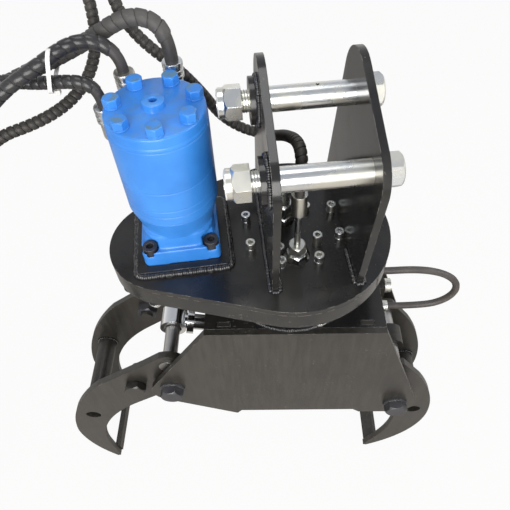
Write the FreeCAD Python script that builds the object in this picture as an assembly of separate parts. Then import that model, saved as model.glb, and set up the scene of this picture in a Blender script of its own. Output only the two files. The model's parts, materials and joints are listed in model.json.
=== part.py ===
"""Hydraulic log grapple with an orbital motor turning its lower frame.

Millimetres, +Z up. The pieces are built about the slewing axis with the gear case's top face
at Z 0, and are saved with the origin at the centre of the main hanger pin, +X along that pin.
The lower frame, its claws and its cylinder are built square and then turned to their rest
angle about the slewing axis.
"""
import FreeCAD, Part
import math
import os
from FreeCAD import Vector as V

# ---------------------------------------------------------------- fits
RUN = 0.05           # radial play of a pin or bolt in a bore that turns
BOLT_PLAY = 0.5      # radial play of a screw in a plain hole
SLIP = 0.3           # gap between curved faces that pass each other
LOOP_PLAY = 2.5      # radial play at the rod's eye, where the linkage loop is opened

# ---------------------------------------------------------------- gear case
CASE_R = 138.0       # round end of the egg-shaped case
LOBE_R = 83.0        # motor end
LOBE_X = -174.0
CASE_TOP = 8.0
SKIRT_H = 26.0
SKIRT_T = 6.0
COVER_T = 8.0
COVER_IN = 3.0       # bottom cover's step in from the skirt
CASE_LOW = -CASE_TOP - SKIRT_H

# ---------------------------------------------------------------- slewing bearing and gears
RING_CLEAR = 8.0     # from the ring's tooth tips to the case's skirt
RING_TEETH = 60
PINION_TEETH = 17
MODULE = (CASE_R - SKIRT_T - RING_CLEAR) / (RING_TEETH / 2 + 1)
RING_PITCH_R = MODULE * RING_TEETH / 2
PINION_PITCH_R = MODULE * PINION_TEETH / 2
TOOTH_SHARE = 0.40   # tooth thickness over the circular pitch, at the pitch circle
RACE_R = 82.0        # bore of the geared ring
RING_LOW = -32.0
RING_H = 20.0
INNER_BORE_R = 57.0
SLEW_PCD_R = 67.0
SLEW_SCREWS = 8
SLEW_SCREW_D = 8.0
SLEW_SCREW_TURN = -20.3
SLEW_SEAT = 4.0
NECK_R = 100.0
NECK_T = 14.0
SLEW_REST = -5.8     # degrees the lower frame is turned at rest

# ---------------------------------------------------------------- rotary joint
STATOR_R = 52.0
STATOR_H = 52.0
CORE_R = 25.0
ROTOR_R = 44.0
ROTOR_FLANGE_R = 60.0
ROTOR_FLANGE_T = 8.0
ROTOR_LOW = -168.0
SWIVEL_PCD_R = 43.0
SWIVEL_SCREW_D = 8.0
SWIVEL_SCREW_AT = (-44.6, 54.4, -120.9, 137.0)
PORT_A = (0.0, -46.0)
PORT_B = (-10.0, 22.0)
PORT_HOLE_R = 18.5
CAP_HOLE_R = 16.5
ADAPTER_AF = 27.0
PIPE_D = 8.5
PIPE_TOP = 85.0
PIPE_FERRULE_D = 20.0

# ---------------------------------------------------------------- motor
MOTOR_X = -RING_PITCH_R - PINION_PITCH_R + 0.1
MOTOR_Y = 5.0
MOTOR_TURN = 1.7
PAD_W = 124.0
PAD_T = 8.0
WELD = 8.0
FLANGE_W = 103.0
FLANGE_T = 26.0
FLANGE_SCREW_AT = 40.0
FLANGE_SCREW_D = 12.0
PILOT_R = 41.0
HOUSING_R = 50.0
MOTOR_R = 57.0
GEROTOR_LOW = 90.0
MOTOR_COVER_T = 18.0
MOTOR_TOP = 219.0
COVER_BOLT_PCD_R = 46.0
COVER_BOLTS = 7
COVER_BOLT_D = 10.0
COVER_BOLT_TURN = 118.4
BOSS_R = 12.5
BOSS_H = 9.0
DRAIN_R = 4.3
DRAIN_DEEP = 16.0
SHAFT_R = 16.0
FITTING_D = 20.0
PORT_DROP = 19.0     # from an elbow's top down to its port's axis

# ---------------------------------------------------------------- hanger ears and pins
EAR_MID_X = 19.1
EAR_GAP = 101.0
EAR_T = 9.0
EAR_FOOT = (-103.0, 114.0)
MAIN_PIN = (-77.0, 173.0)      # (y, z)
LINK_PIN = (24.0, 202.0)
MAIN_LOBE_R = 42.0
LINK_LOBE_R = 50.0
PIN_D = 29.0
THREAD_D = 24.0
COLLAR_D = 54.0
COLLAR_T = 10.0
WASHER_T = 3.5
HEAD_CLEAR = 1.0     # pocket round a screw's head in an ear's foot
HEX_AF = 36.0
HEAD_T = 19.0
NUT_T = 20.0
NYLON_T = 6.0
THREAD_BARE = 9.0
THREAD_OUT = 2.0
GREASE_R = 2.0

# ---------------------------------------------------------------- lower frame (x, z of its square pose)
FRAME_TOP = -110.0
FRAME_T = 10.0
FRAME_HALF_W = 107.5
TOP_LEFT_X = -131.0
TOP_RIGHT_X = 138.0
PIVOT_L = (-206.0, -296.0)
PIVOT_R = (196.0, -374.0)
CORNER_L = (-203.0, -312.0, 42.0)
CORNER_R = (195.0, -378.0, 40.0)
FRAME_LOW_X = -98.0
FRAME_LOW = -418.0
RECESS = (-90.0, 122.0, 13.0)  # from x, to x, depth
RIB_AT = (-102.0, 111.0)
TAB_W = 20.0
TAB_T = 8.0
PIVOT_D = 24.0
PIVOT_HEAD_T = 15.0
PIVOT_WASHER_T = 4.0
PIVOT_NUT_T = 19.0

# ---------------------------------------------------------------- claws
CLAW_T = 12.0
WIDE_BUSH = 7.5      # length of a bush between the frame's plate and a claw's plate
NARROW_BUSH = 28.5
WIDE_HALF = FRAME_HALF_W - FRAME_T - WIDE_BUSH
NARROW_HALF = FRAME_HALF_W - FRAME_T - NARROW_BUSH
LOBE_CLAW_R = 30.0
BOSS_CLAW_R = 40.0
CYL_PIN_L = (-206.0, -245.0)
CYL_PIN_R = (194.0, -322.0)
CYL_PIN_D = 25.0
TUBE_D = 38.0
TUBE_BORE = 30.0
TUBE_L = (-398.0, -468.0)
TUBE_R = (265.0, -508.0)
FLOOR_Z = -742.0
TIP_BAR_T = 12.0
WIDE_BAR = (-415.0, FLOOR_Z + 5.0), (-414.0, FLOOR_Z + 37.0)     # (x, z) of the bar's inner edges
NARROW_BAR = (193.0, FLOOR_Z + 9.0), (214.0, FLOOR_Z + 34.0)
STOP_BOLT = (-278.6, -321.8)
STOP_WASHER_R = 18.0

# ---------------------------------------------------------------- cylinder
BARREL_D = 60.0
BARREL_WALL = 5.0
ROD_D = 28.0
EYE_D = 46.0
EYE_W = 36.0
GLAND_D = 66.0
GLAND_L = 24.0
GLAND_AT = 78.0      # from the rod's pin to the gland's face
ROD_COLLAR_D = 44.0
ROD_COLLAR = (24.0, 36.0)
PISTON_L = 22.0
GLAND_SPIGOT = 14.0
STROKE_OUT = 66.0    # travel left from rest to the closed claws

# ---------------------------------------------------------------- hoses
HOSE_D = (20.0, 17.0, 16.0, 15.0)
FERRULE_D = 25.0
FERRULE_L = 21.0
COUPLER_L = 62.0
COUPLER_D = 25.0
JUMPER_D = 12.0

# Each hose leaves its ferrule, arches over to the left and comes down to the surface that the
# claw tips stand on. The last point is where its coupler starts.
MOTOR_HOSE_1 = [
    (-134, 80.5, 226), (-134, 80.5, 249), (-146, 91, 270), (-178, 99, 273), (-226, 107, 244),
    (-290, 103, 219), (-370, 84, 196), (-460, 62, 110), (-550, 42, -60), (-630, 18, -250),
    (-697, 2, -430), (-740, -5, -565), (-775, -14, -649.5), (-790, -40, -701.5),
    (-795, -92, -731.7), (-793, -158, -729), (-788, -225, -729)]
MOTOR_HOSE_2 = [
    (-190, 73, 222), (-190, 73, 238), (-205, 78, 255), (-236, 75, 262), (-277, 57, 246),
    (-325, 43, 225), (-395, 27, 165), (-480, 10, 30), (-560, -4, -140), (-635, -12, -330),
    (-690, -16, -490), (-722, -20, -600), (-745, -27, -670), (-757, -50, -712),
    (-762, -98, -733.2), (-761, -160, -729), (-757, -222, -729)]
MOTOR_HOSE_3 = [
    (-217.8, 47.9, 196), (-217.8, 47.9, 212), (-229, 50, 226), (-254, 54, 227), (-293, 68, 219),
    (-345, 73, 226), (-425, 64, 182), (-515, 45, 60), (-600, 22, -120), (-683, 4, -320),
    (-754, -8, -505), (-797, -16, -620), (-822, -26, -684), (-836, -50, -717),
    (-842, -100, -733.7), (-841, -163, -729), (-835, -228, -729)]
SWIVEL_HOSE = [
    (0, -46, 118), (0, -46, 139), (2.5, -38, 161), (2, -12, 169), (-5, 48, 130),
    (-12, 82, 102), (-28, 113, 82), (-60, 130, 84), (-87, 128, 112), (-104, 122, 150),
    (-134, 122, 192), (-172, 128, 228), (-193, 143, 258), (-198, 160, 290), (-181, 186, 328),
    (-139.5, 216, 356), (-109, 253, 420), (-139.5, 290, 484), (-213, 305, 510),
    (-286.5, 290, 484), (-317, 253, 420), (-286.5, 216, 356), (-247, 190, 326),
    (-229, 172, 288), (-225, 158, 250), (-229, 145, 216), (-243, 124, 188), (-268, 96, 172),
    (-305, 68, 166), (-365, 50, 160), (-440, 34, 80), (-520, 8, -90), (-590, -12, -280),
    (-645, -22, -460), (-680, -28, -590), (-703, -34, -668), (-717, -55, -712),
    (-726, -102, -734.2), (-730, -160, -729), (-729, -215, -729)]

# The jumper hose is held at both ends by the lower frame: (x, z) of its line in the frame's
# square pose, from the rotary joint's side port round to the port block's nut.
JUMPER_Y = 20.0
JUMPER = [(58, -133), (150, -133), (208, -129), (250, -139), (280, -162), (290, -194),
          (276, -224), (242, -240), (178, -240)]
JUMPER_HOLE_R = 12.0
PORT_BLOCK = (128.0, 158.0, -258.0, -152.0)
STRAP_Y = (34.0, 60.0)
STRAP_T = 12.0

HANGER = V(EAR_MID_X, MAIN_PIN[0], MAIN_PIN[1])
X, Y, Z = V(1, 0, 0), V(0, 1, 0), V(0, 0, 1)


# ================================================================ helpers
def fuse(shapes):
    """Union of several solids, with split faces merged."""
    return shapes[0].multiFuse(shapes[1:]).removeSplitter() if len(shapes) > 1 else shapes[0]


def cyl(radius, start, end):
    """Round bar from one point to another."""
    start, end = V(*start), V(*end)
    return Part.makeCylinder(radius, (end - start).Length, start, end - start)


def tube(radius, bore, start, end):
    return cyl(radius, start, end).cut(cyl(bore, start, end))


def box(low, high):
    low, high = V(*low), V(*high)
    size = high - low
    return Part.makeBox(size.x, size.y, size.z, low)


def hexagon(across_flats, start, end, turn=0.0):
    """Hexagonal bar with its two end rims chamfered by a cone."""
    start, end = V(*start), V(*end)
    axis = (end - start).normalize()
    side = axis.cross(Z if abs(axis.z) < 0.9 else X).normalize()
    other = axis.cross(side)
    corner = across_flats / math.sqrt(3)
    ring = []
    for k in range(6):
        a = math.radians(60 * k + turn)
        ring.append(start + side * (corner * math.cos(a)) + other * (corner * math.sin(a)))
    solid = Part.Face(Part.makePolygon(ring + ring[:1])).extrude(end - start)
    height = (end - start).Length
    steep = 0.55
    cone = Part.makeCone(across_flats * 0.48 + steep * height * 2, across_flats * 0.48, height * 2 / 1.7,
                         end - axis * (height * 2 / 1.7), axis)
    return solid.common(cone)


def belt(circles):
    """Closed outline drawn tight round circles (u, v, r), given anticlockwise."""
    lines = []
    count = len(circles)
    for i in range(count):
        (u1, v1, r1), (u2, v2, r2) = circles[i], circles[(i + 1) % count]
        du, dv = u2 - u1, v2 - v1
        far = math.hypot(du, dv)
        du, dv = du / far, dv / far
        lean = (r1 - r2) / far
        side = math.sqrt(1 - lean * lean)
        nu, nv = du * lean + dv * side, dv * lean - du * side
        lines.append(((u1 + r1 * nu, v1 + r1 * nv), (u2 + r2 * nu, v2 + r2 * nv), math.atan2(nv, nu)))
    edges = []
    for i in range(count):
        start, end, angle = lines[i]
        before = lines[i - 1]
        u, v, r = circles[i]
        if r > 0:
            turn = (angle - before[2]) % (2 * math.pi)
            mid = before[2] + turn / 2
            edges.append(("arc", before[1], (u + r * math.cos(mid), v + r * math.sin(mid)), start))
        edges.append(("line", start, end))
    return edges


def plate(edges, low, high, across="y"):
    """Extrudes an outline of lines and arcs: (x, z) along Y, (y, z) along X or (x, y) along Z."""
    def put(p):
        return {"y": V(p[0], low, p[1]), "x": V(low, p[0], p[1]), "z": V(p[0], p[1], low)}[across]
    made = []
    for edge in edges:
        if edge[0] == "line":
            made.append(Part.LineSegment(put(edge[1]), put(edge[2])).toShape())
        else:
            made.append(Part.Arc(put(edge[1]), put(edge[2]), put(edge[3])).toShape())
    face = Part.Face(Part.Wire(Part.__sortEdges__(made)))
    return face.extrude({"y": Y, "x": X, "z": Z}[across] * (high - low))


def path(*steps):
    """Outline from (u, v) corners; a corner after the word "via" is a point on an arc."""
    edges, here, via = [], steps[0], None
    for step in steps[1:] + (steps[0],):
        if step == "via":
            via = step
        elif via == "via":
            via = step
        elif via is not None:
            edges.append(("arc", here, via, step))
            here, via = step, None
        else:
            edges.append(("line", here, step))
            here = step
    return edges


def polar(radius, degrees, centre=(0.0, 0.0)):
    a = math.radians(degrees)
    return centre[0] + radius * math.cos(a), centre[1] + radius * math.sin(a)


def socket_screw(x, y, seat, diameter, down, head=None):
    """Socket head cap screw standing on a seat, its shank reaching down by a length."""
    head = head or diameter
    shape = fuse([cyl(diameter * 0.8, (x, y, seat), (x, y, seat + head)),
                  cyl(diameter / 2, (x, y, seat - down), (x, y, seat))])
    key = hexagon(diameter * 0.8, (x, y, seat + head * 0.45), (x, y, seat + head + 8))
    return shape.cut(key)


def save(name, shape, lower=False):
    """Moves a piece to the saved frame and writes it."""
    shape = shape.copy()
    if lower:
        shape.rotate(V(0, 0, 0), Z, SLEW_REST)
    shape.translate(HANGER * -1)
    if not shape.isValid():
        print("NOT VALID", name)
    shape.exportStep(os.path.join("parts", name + ".step"))


# ================================================================ gear case
def egg(inset):
    return belt([(0, 0, CASE_R - inset), (LOBE_X, 0, LOBE_R - inset)])


def gear_case_top():
    shape = plate(egg(0), -CASE_TOP, 0, "z")
    for x, y in slew_places():
        shape = shape.cut(cyl(SLEW_SCREW_D / 2 + BOLT_PLAY, (x, y, -CASE_TOP), (x, y, 0)))
    for angle in SWIVEL_SCREW_AT:
        x, y = polar(SWIVEL_PCD_R, angle)
        shape = shape.cut(cyl(SWIVEL_SCREW_D / 2 + BOLT_PLAY, (x, y, -CASE_TOP), (x, y, 0)))
    for (x, y), radius in ((PORT_A, PORT_HOLE_R), (PORT_B, CAP_HOLE_R)):
        shape = shape.cut(cyl(radius, (x, y, -CASE_TOP), (x, y, 0)))
    return shape.cut(cyl(PILOT_R, (MOTOR_X, MOTOR_Y, -CASE_TOP), (MOTOR_X, MOTOR_Y, 0)))


def gear_case_skirt():
    outside = plate(egg(0), CASE_LOW, -CASE_TOP, "z")
    return outside.cut(plate(egg(SKIRT_T), CASE_LOW, -CASE_TOP, "z"))


def cover_screw_places():
    """Screws of the bottom cover: round the motor end, then round the big end."""
    places = [polar(LOBE_R - 10, a, (LOBE_X, 0)) for a in (110, 150, 180, 214, 250)]
    return places + [polar(CASE_R - 12, a) for a in (-80, -30, 20, 70)]


def gear_case_cover():
    low = CASE_LOW - COVER_T
    shape = plate(egg(COVER_IN), low, CASE_LOW, "z")
    return shape.cut(cyl(NECK_R + 2, (0, 0, low), (0, 0, CASE_LOW)))


def cover_screws():
    low = CASE_LOW - COVER_T
    made = []
    for x, y in cover_screw_places():
        made.append(cyl(10, (x, y, low - 2), (x, y, low)))
        made.append(hexagon(13, (x, y, low - 2), (x, y, low - 10)))
    return Part.makeCompound([fuse(made[i:i + 2]) for i in range(0, len(made), 2)])


# ================================================================ slewing bearing and gears
def toothed(teeth, low, high, turn, axis_xy):
    """Spur gear blank with straight-flanked teeth; turn places the first tooth."""
    pitch_r = MODULE * teeth / 2
    root_r, tip_r = pitch_r - 1.25 * MODULE, pitch_r + MODULE
    half = math.pi * MODULE * TOOTH_SHARE / 2
    slope = math.tan(math.radians(20))
    points = []
    for k in range(teeth):
        middle = math.radians(turn + 360 / teeth * k)
        for radius, sign in ((root_r, -1), (tip_r, -1), (tip_r, 1), (root_r, 1)):
            off = half + (pitch_r - radius) * slope
            a = middle + sign * off / radius
            points.append(V(axis_xy[0] + radius * math.cos(a), axis_xy[1] + radius * math.sin(a), low))
    return Part.Face(Part.makePolygon(points + points[:1])).extrude(Z * (high - low))


PINION_BEARING = math.degrees(math.atan2(MOTOR_Y, MOTOR_X))


def ring_gear():
    """Geared outer ring of the slewing bearing, a tooth space facing the pinion at rest."""
    turn = PINION_BEARING + 180 / RING_TEETH - SLEW_REST
    shape = toothed(RING_TEETH, RING_LOW, RING_LOW + RING_H, turn, (0, 0))
    return shape.cut(cyl(RACE_R, (0, 0, RING_LOW), (0, 0, RING_LOW + RING_H)))


def inner_ring():
    """Fixed inner ring, screwed up to the case."""
    low = CASE_LOW
    shape = tube(RACE_R - SLIP, INNER_BORE_R, (0, 0, low), (0, 0, -CASE_TOP))
    for x, y in slew_places():
        shape = shape.cut(cyl(SLEW_SCREW_D / 2, (x, y, low), (x, y, -CASE_TOP)))
    return shape


def slew_places():
    return [polar(SLEW_PCD_R, SLEW_SCREW_TURN + 360 / SLEW_SCREWS * k) for k in range(SLEW_SCREWS)]


def slew_screws():
    down = SLEW_SEAT + CASE_TOP + 18
    return Part.makeCompound([socket_screw(x, y, SLEW_SEAT, SLEW_SCREW_D, down, 11)
                              for x, y in slew_places()])


def slew_washers():
    return Part.makeCompound([
        tube(SLEW_SCREW_D * 0.82, SLEW_SCREW_D / 2, (x, y, 0), (x, y, SLEW_SEAT))
        for x, y in slew_places()])


def neck_drum():
    """Drum that joins the geared ring to the lower frame."""
    return tube(NECK_R, NECK_R - NECK_T, (0, 0, FRAME_TOP), (0, 0, RING_LOW))


def pinion():
    """Motor shaft and pinion."""
    centre = (MOTOR_X, MOTOR_Y)
    turn = PINION_BEARING + 180
    gear = toothed(PINION_TEETH, RING_LOW, RING_LOW + RING_H, turn, centre)
    shaft = cyl(SHAFT_R, (*centre, RING_LOW), (*centre, PAD_T + FLANGE_T))
    return fuse([gear, shaft])


# ================================================================ rotary joint
def swivel_stator():
    top, low = -CASE_TOP, -CASE_TOP - STATOR_H
    shape = tube(STATOR_R, CORE_R + RUN, (0, 0, low), (0, 0, top))
    for angle in SWIVEL_SCREW_AT:
        x, y = polar(SWIVEL_PCD_R, angle)
        shape = shape.cut(cyl(SWIVEL_SCREW_D / 2, (x, y, top - 22), (x, y, top)))
    return shape


def swivel_screws():
    """Four screws of the rotary joint; the front one stands taller on a spacer."""
    made = []
    for angle in SWIVEL_SCREW_AT:
        x, y = polar(SWIVEL_PCD_R, angle)
        tall = angle == SWIVEL_SCREW_AT[0]
        made.append(socket_screw(x, y, 0, SWIVEL_SCREW_D, CASE_TOP + 20, 20 if tall else 11))
    return Part.makeCompound(made)


def swivel_rotor():
    low = FRAME_TOP
    return fuse([cyl(CORE_R, (0, 0, ROTOR_LOW), (0, 0, -CASE_TOP - 30)),
                 cyl(ROTOR_FLANGE_R, (0, 0, low), (0, 0, low + ROTOR_FLANGE_T)),
                 cyl(ROTOR_R, (0, 0, ROTOR_LOW), (0, 0, low))])


def swivel_adapter_a():
    """Adapter, nut and steel pipe of the first port."""
    x, y = PORT_A
    return fuse([hexagon(ADAPTER_AF, (x, y, -CASE_TOP), (x, y, 8)),
                 hexagon(22, (x, y, 8), (x, y, 24)),
                 cyl(PIPE_D / 2, (x, y, 24), (x, y, PIPE_TOP)),
                 cyl(PIPE_FERRULE_D / 2, (x, y, PIPE_TOP), (x, y, SWIVEL_HOSE[0][2]))])


def swivel_adapter_b():
    """Capped second port."""
    x, y = PORT_B
    return fuse([hexagon(ADAPTER_AF, (x, y, -CASE_TOP), (x, y, 12)),
                 hexagon(24, (x, y, 12), (x, y, 34)),
                 cyl(10, (x, y, 34), (x, y, 62))])


# ================================================================ motor
def motor_box(half, low, high, corner):
    """Square slab on the motor axis, with rounded upright corners."""
    c = half - corner
    ring = belt([(MOTOR_X - c, MOTOR_Y - c, corner), (MOTOR_X + c, MOTOR_Y - c, corner),
                 (MOTOR_X + c, MOTOR_Y + c, corner), (MOTOR_X - c, MOTOR_Y + c, corner)])
    return plate(ring, low, high, "z")


def motor_turned(shape):
    shape = shape.copy()
    shape.rotate(V(MOTOR_X, MOTOR_Y, 0), Z, MOTOR_TURN)
    return shape


def motor_bar(radius, low, high):
    return cyl(radius, (MOTOR_X, MOTOR_Y, low), (MOTOR_X, MOTOR_Y, high))


def motor_pad():
    return motor_turned(motor_box(PAD_W / 2, 0, PAD_T, 6).cut(motor_bar(PILOT_R, 0, PAD_T)))


def pad_weld():
    outer = motor_box(PAD_W / 2 + WELD, 0, PAD_T - 1.5, 12)
    outer = outer.makeChamfer(WELD * 0.55, [e for e in outer.Edges if min(v.Z for v in e.Vertexes) > 1])
    return motor_turned(outer.cut(motor_box(PAD_W / 2, 0, PAD_T, 6)))


def flange_screw_places():
    at = FLANGE_SCREW_AT
    return [(MOTOR_X + sx * at, MOTOR_Y + sy * at) for sx in (-1, 1) for sy in (-1, 1)]


def motor_housing():
    """Square flange and the round housing that widens to the gerotor set."""
    low, top = PAD_T, PAD_T + FLANGE_T
    flange = motor_box(FLANGE_W / 2, low, top, 8)
    neck = motor_box(HOUSING_R - 4, top, GEROTOR_LOW - 34, 30)
    cone = Part.makeCone(HOUSING_R - 2, MOTOR_R, 34, V(MOTOR_X, MOTOR_Y, GEROTOR_LOW - 34), Z)
    pilot = motor_bar(PILOT_R - SLIP, -CASE_TOP + 1, low)
    shape = fuse([flange, neck, cone, pilot])
    for x, y in flange_screw_places():
        shape = shape.cut(cyl(FLANGE_SCREW_D * 0.95, (x, y, top - 9), (x, y, GEROTOR_LOW - 42)))
        shape = shape.cut(cyl(FLANGE_SCREW_D / 2, (x, y, low), (x, y, top)))
    return motor_turned(shape.cut(motor_bar(SHAFT_R + SLIP, -CASE_TOP, top + 2)))


def motor_gerotor():
    return motor_bar(MOTOR_R, GEROTOR_LOW, MOTOR_TOP - MOTOR_COVER_T)


def motor_cover():
    """Rear cover with its centre boss and drain port."""
    disc = motor_bar(MOTOR_R, MOTOR_TOP - MOTOR_COVER_T, MOTOR_TOP)
    disc = disc.makeFillet(2.0, [e for e in disc.Edges if e.BoundBox.ZMin > MOTOR_TOP - 1])
    shape = fuse([disc, motor_bar(BOSS_R, MOTOR_TOP, MOTOR_TOP + BOSS_H)])
    return shape.cut(motor_bar(DRAIN_R, MOTOR_TOP + BOSS_H - DRAIN_DEEP, MOTOR_TOP + BOSS_H))


def motor_cover_bolts():
    made = []
    for k in range(COVER_BOLTS):
        x, y = polar(COVER_BOLT_PCD_R, COVER_BOLT_TURN - 360 / COVER_BOLTS * k, (MOTOR_X, MOTOR_Y))
        made.append(hexagon(17, (x, y, MOTOR_TOP), (x, y, MOTOR_TOP + 11), 17 * k))
    return Part.makeCompound(made)


def motor_flange_screws():
    return Part.makeCompound([
        motor_turned(socket_screw(x, y, PAD_T + FLANGE_T - 9, FLANGE_SCREW_D, FLANGE_T - 9, 12))
        for x, y in flange_screw_places()])


def port_fittings():
    """Elbow adapters of the three motor ports, at the back of the motor's upper end."""
    made = []
    for route in (MOTOR_HOSE_1, MOTOR_HOSE_2, MOTOR_HOSE_3):
        x, y, top = route[0]
        top -= FERRULE_L
        angle = math.degrees(math.atan2(y - MOTOR_Y, x - MOTOR_X))
        level = top - PORT_DROP
        inside = polar(MOTOR_R - 8, angle, (MOTOR_X, MOTOR_Y))
        start = polar(MOTOR_R - 4, angle, (MOTOR_X, MOTOR_Y))
        far = polar(MOTOR_R + 9, angle, (MOTOR_X, MOTOR_Y))
        r = FITTING_D / 2
        elbow = fuse([cyl(r, (*inside, level), (x, y, level)), Part.makeSphere(r, V(x, y, level)),
                      cyl(r, (x, y, level), (x, y, top)), hexagon(24, (*start, level), (*far, level))])
        made.append(elbow.cut(motor_bar(MOTOR_R, 0, MOTOR_TOP)))
    return Part.makeCompound(made)


# ================================================================ hanger ears and pins
def ear(inner_x, side):
    """Ear plate; side is -1 for the left one, whose outer face looks along -X."""
    (my, mz), (ly, lz) = MAIN_PIN, LINK_PIN
    outline = belt([(EAR_FOOT[0], 0, 0), (EAR_FOOT[1], 0, 0),
                    (ly, lz, LINK_LOBE_R), (my, mz, MAIN_LOBE_R)])
    low, high = sorted((inner_x, inner_x + side * EAR_T))
    shape = plate(outline, low, high, "x")
    for y, z in (MAIN_PIN, LINK_PIN):
        shape = shape.cut(cyl(PIN_D / 2 + RUN, (low, y, z), (high, y, z)))
    heads = [(place, SLEW_SCREW_D, SLEW_SEAT + 11) for place in slew_places()]
    heads += [(polar(SWIVEL_PCD_R, angle), SWIVEL_SCREW_D, 11) for angle in SWIVEL_SCREW_AT]
    for (x, y), size, top in heads:
        pocket = cyl(size * 0.82 + HEAD_CLEAR, (x, y, 0), (x, y, top + HEAD_CLEAR))
        shape = shape.cut(pocket)
    return shape


LEFT_IN = EAR_MID_X - EAR_GAP / 2
RIGHT_IN = EAR_MID_X + EAR_GAP / 2
LEFT_OUT = LEFT_IN - EAR_T
RIGHT_OUT = RIGHT_IN + EAR_T


def ear_welds():
    """Fillet beads at the feet of both ears, on both faces, kept clear of the screws and ports."""
    made = []
    size = 6.0
    ear_runs = {LEFT_OUT: (-1, EAR_FOOT), LEFT_IN: (1, (-103.0, -82.0)),
                RIGHT_IN: (-1, (-103.0, -46.0)), RIGHT_OUT: (1, EAR_FOOT)}
    for x, (side, (y0, y1)) in ear_runs.items():
        corners = [V(x, y0, 0), V(x + side * size, y0, 0), V(x, y0, size)]
        made.append(Part.Face(Part.makePolygon(corners + corners[:1])).extrude(V(0, y1 - y0, 0)))
    return Part.makeCompound(made)


def pin_collars():
    """Round collars welded on the outer face of the left ear, round both pins."""
    return Part.makeCompound([
        tube(COLLAR_D / 2, PIN_D / 2 + RUN, (LEFT_OUT - COLLAR_T, y, z), (LEFT_OUT, y, z))
        for y, z in (MAIN_PIN, LINK_PIN)])


def hanger_pin(y, z, greased):
    """Shouldered pin: hex head and washer face at the right, thread at the left."""
    shoulder = LEFT_OUT - COLLAR_T
    nut_in = shoulder - THREAD_BARE
    end = nut_in - NUT_T - NYLON_T - THREAD_OUT
    shape = fuse([cyl(PIN_D / 2, (shoulder, y, z), (RIGHT_OUT, y, z)),
                  cyl(THREAD_D / 2, (end, y, z), (shoulder, y, z)),
                  cyl(HEX_AF * 0.5, (RIGHT_OUT, y, z), (RIGHT_OUT + WASHER_T, y, z)),
                  hexagon(HEX_AF, (RIGHT_OUT + WASHER_T, y, z), (RIGHT_OUT + WASHER_T + HEAD_T, y, z), 10)])
    if greased:
        x = EAR_MID_X + 8
        shape = shape.cut(cyl(GREASE_R, (x, y, z + PIN_D / 2 - 8), (x, y, z + PIN_D / 2 + 1)))
    return shape


def pin_nuts():
    """Self-locking nuts with their nylon collars outwards."""
    made = []
    for y, z in (MAIN_PIN, LINK_PIN):
        near = LEFT_OUT - COLLAR_T - THREAD_BARE
        body = fuse([hexagon(HEX_AF, (near, y, z), (near - NUT_T, y, z), 20),
                     cyl(HEX_AF * 0.48, (near - NUT_T, y, z), (near - NUT_T - NYLON_T, y, z))])
        made.append(body.cut(cyl(THREAD_D / 2, (near - 30, y, z), (near, y, z))))
    return Part.makeCompound(made)


# ================================================================ lower frame
def side_outline():
    """Outline of the front and rear plates, in (x, z)."""
    return belt([(*CORNER_L[:2], CORNER_L[2]), (FRAME_LOW_X, FRAME_LOW + 6, 6), CORNER_R,
                 (TOP_RIGHT_X, FRAME_TOP, 0), (TOP_LEFT_X, FRAME_TOP, 0)])


def side_plate(side):
    low, high = sorted((side * FRAME_HALF_W, side * (FRAME_HALF_W - FRAME_T)))
    shape = plate(side_outline(), low, high)
    x0, x1, deep = RECESS
    notch = path((x0 - deep, FRAME_LOW - 8), (x0 - deep * 0.6, FRAME_LOW), (x0, FRAME_LOW + deep),
                 (x1, FRAME_LOW + deep), (x1 + deep, FRAME_LOW), (x1 + deep * 1.2, FRAME_LOW - 8))
    shape = shape.cut(plate(notch, low, high))
    for x, z in (PIVOT_L, PIVOT_R):
        shape = shape.cut(cyl(PIVOT_D / 2, (x, low, z), (x, high, z)))
    return shape


def tab_places():
    return [(x, side * (FRAME_HALF_W - FRAME_T - 8)) for x in RIB_AT for side in (-1, 1)]


def frame_top():
    """Top plate between the side plates, carrying the drum and the rotary joint."""
    inside = FRAME_HALF_W - FRAME_T
    shape = box((TOP_LEFT_X, -inside, FRAME_TOP - FRAME_T), (TOP_RIGHT_X, inside, FRAME_TOP))
    shape = shape.cut(cyl(ROTOR_R + SLIP, (0, 0, FRAME_TOP - FRAME_T), (0, 0, FRAME_TOP)))
    for x, y in tab_places():
        shape = shape.cut(box((x - TAB_W / 2, y - TAB_T / 2, FRAME_TOP - FRAME_T),
                              (x + TAB_W / 2, y + TAB_T / 2, FRAME_TOP)))
    return shape


def frame_ribs():
    """Cross ribs under the top plate, their tabs standing in the plate's slots."""
    inside = FRAME_HALF_W - FRAME_T
    made = []
    for x in RIB_AT:
        rib = box((x - 5, -inside, FRAME_TOP - FRAME_T - 42), (x + 5, inside, FRAME_TOP - FRAME_T))
        for y in (-inside + 8, inside - 8):
            rib = rib.fuse(box((x - TAB_W / 2 + 0.5, y - TAB_T / 2 + 0.5, FRAME_TOP - FRAME_T - 10),
                               (x + TAB_W / 2 - 0.5, y + TAB_T / 2 - 0.5, FRAME_TOP)))
        rib = rib.removeSplitter()
        made.append(rib.cut(cyl(JUMPER_HOLE_R, (x - 5, JUMPER_Y, JUMPER[0][1]), (x + 5, JUMPER_Y, JUMPER[0][1]))))
    return Part.makeCompound(made)


def pivot_bolts(pivot, claw_half):
    """Front and rear pivot bolts of one claw: each has its own short bolt and bush."""
    x, z = pivot
    made = []
    for s in (-1, 1):
        face = s * FRAME_HALF_W
        head = face + s * PIVOT_WASHER_T
        inner = s * (claw_half - CLAW_T)
        end = inner - s * (SLIP + PIVOT_NUT_T + 4)
        made.append(fuse([cyl(22, (x, face, z), (x, head, z)),
                          hexagon(HEX_AF, (x, head, z), (x, head + s * PIVOT_HEAD_T, z), 8),
                          cyl(PIVOT_D / 2, (x, end, z), (x, face, z))]))
    return made


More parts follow.
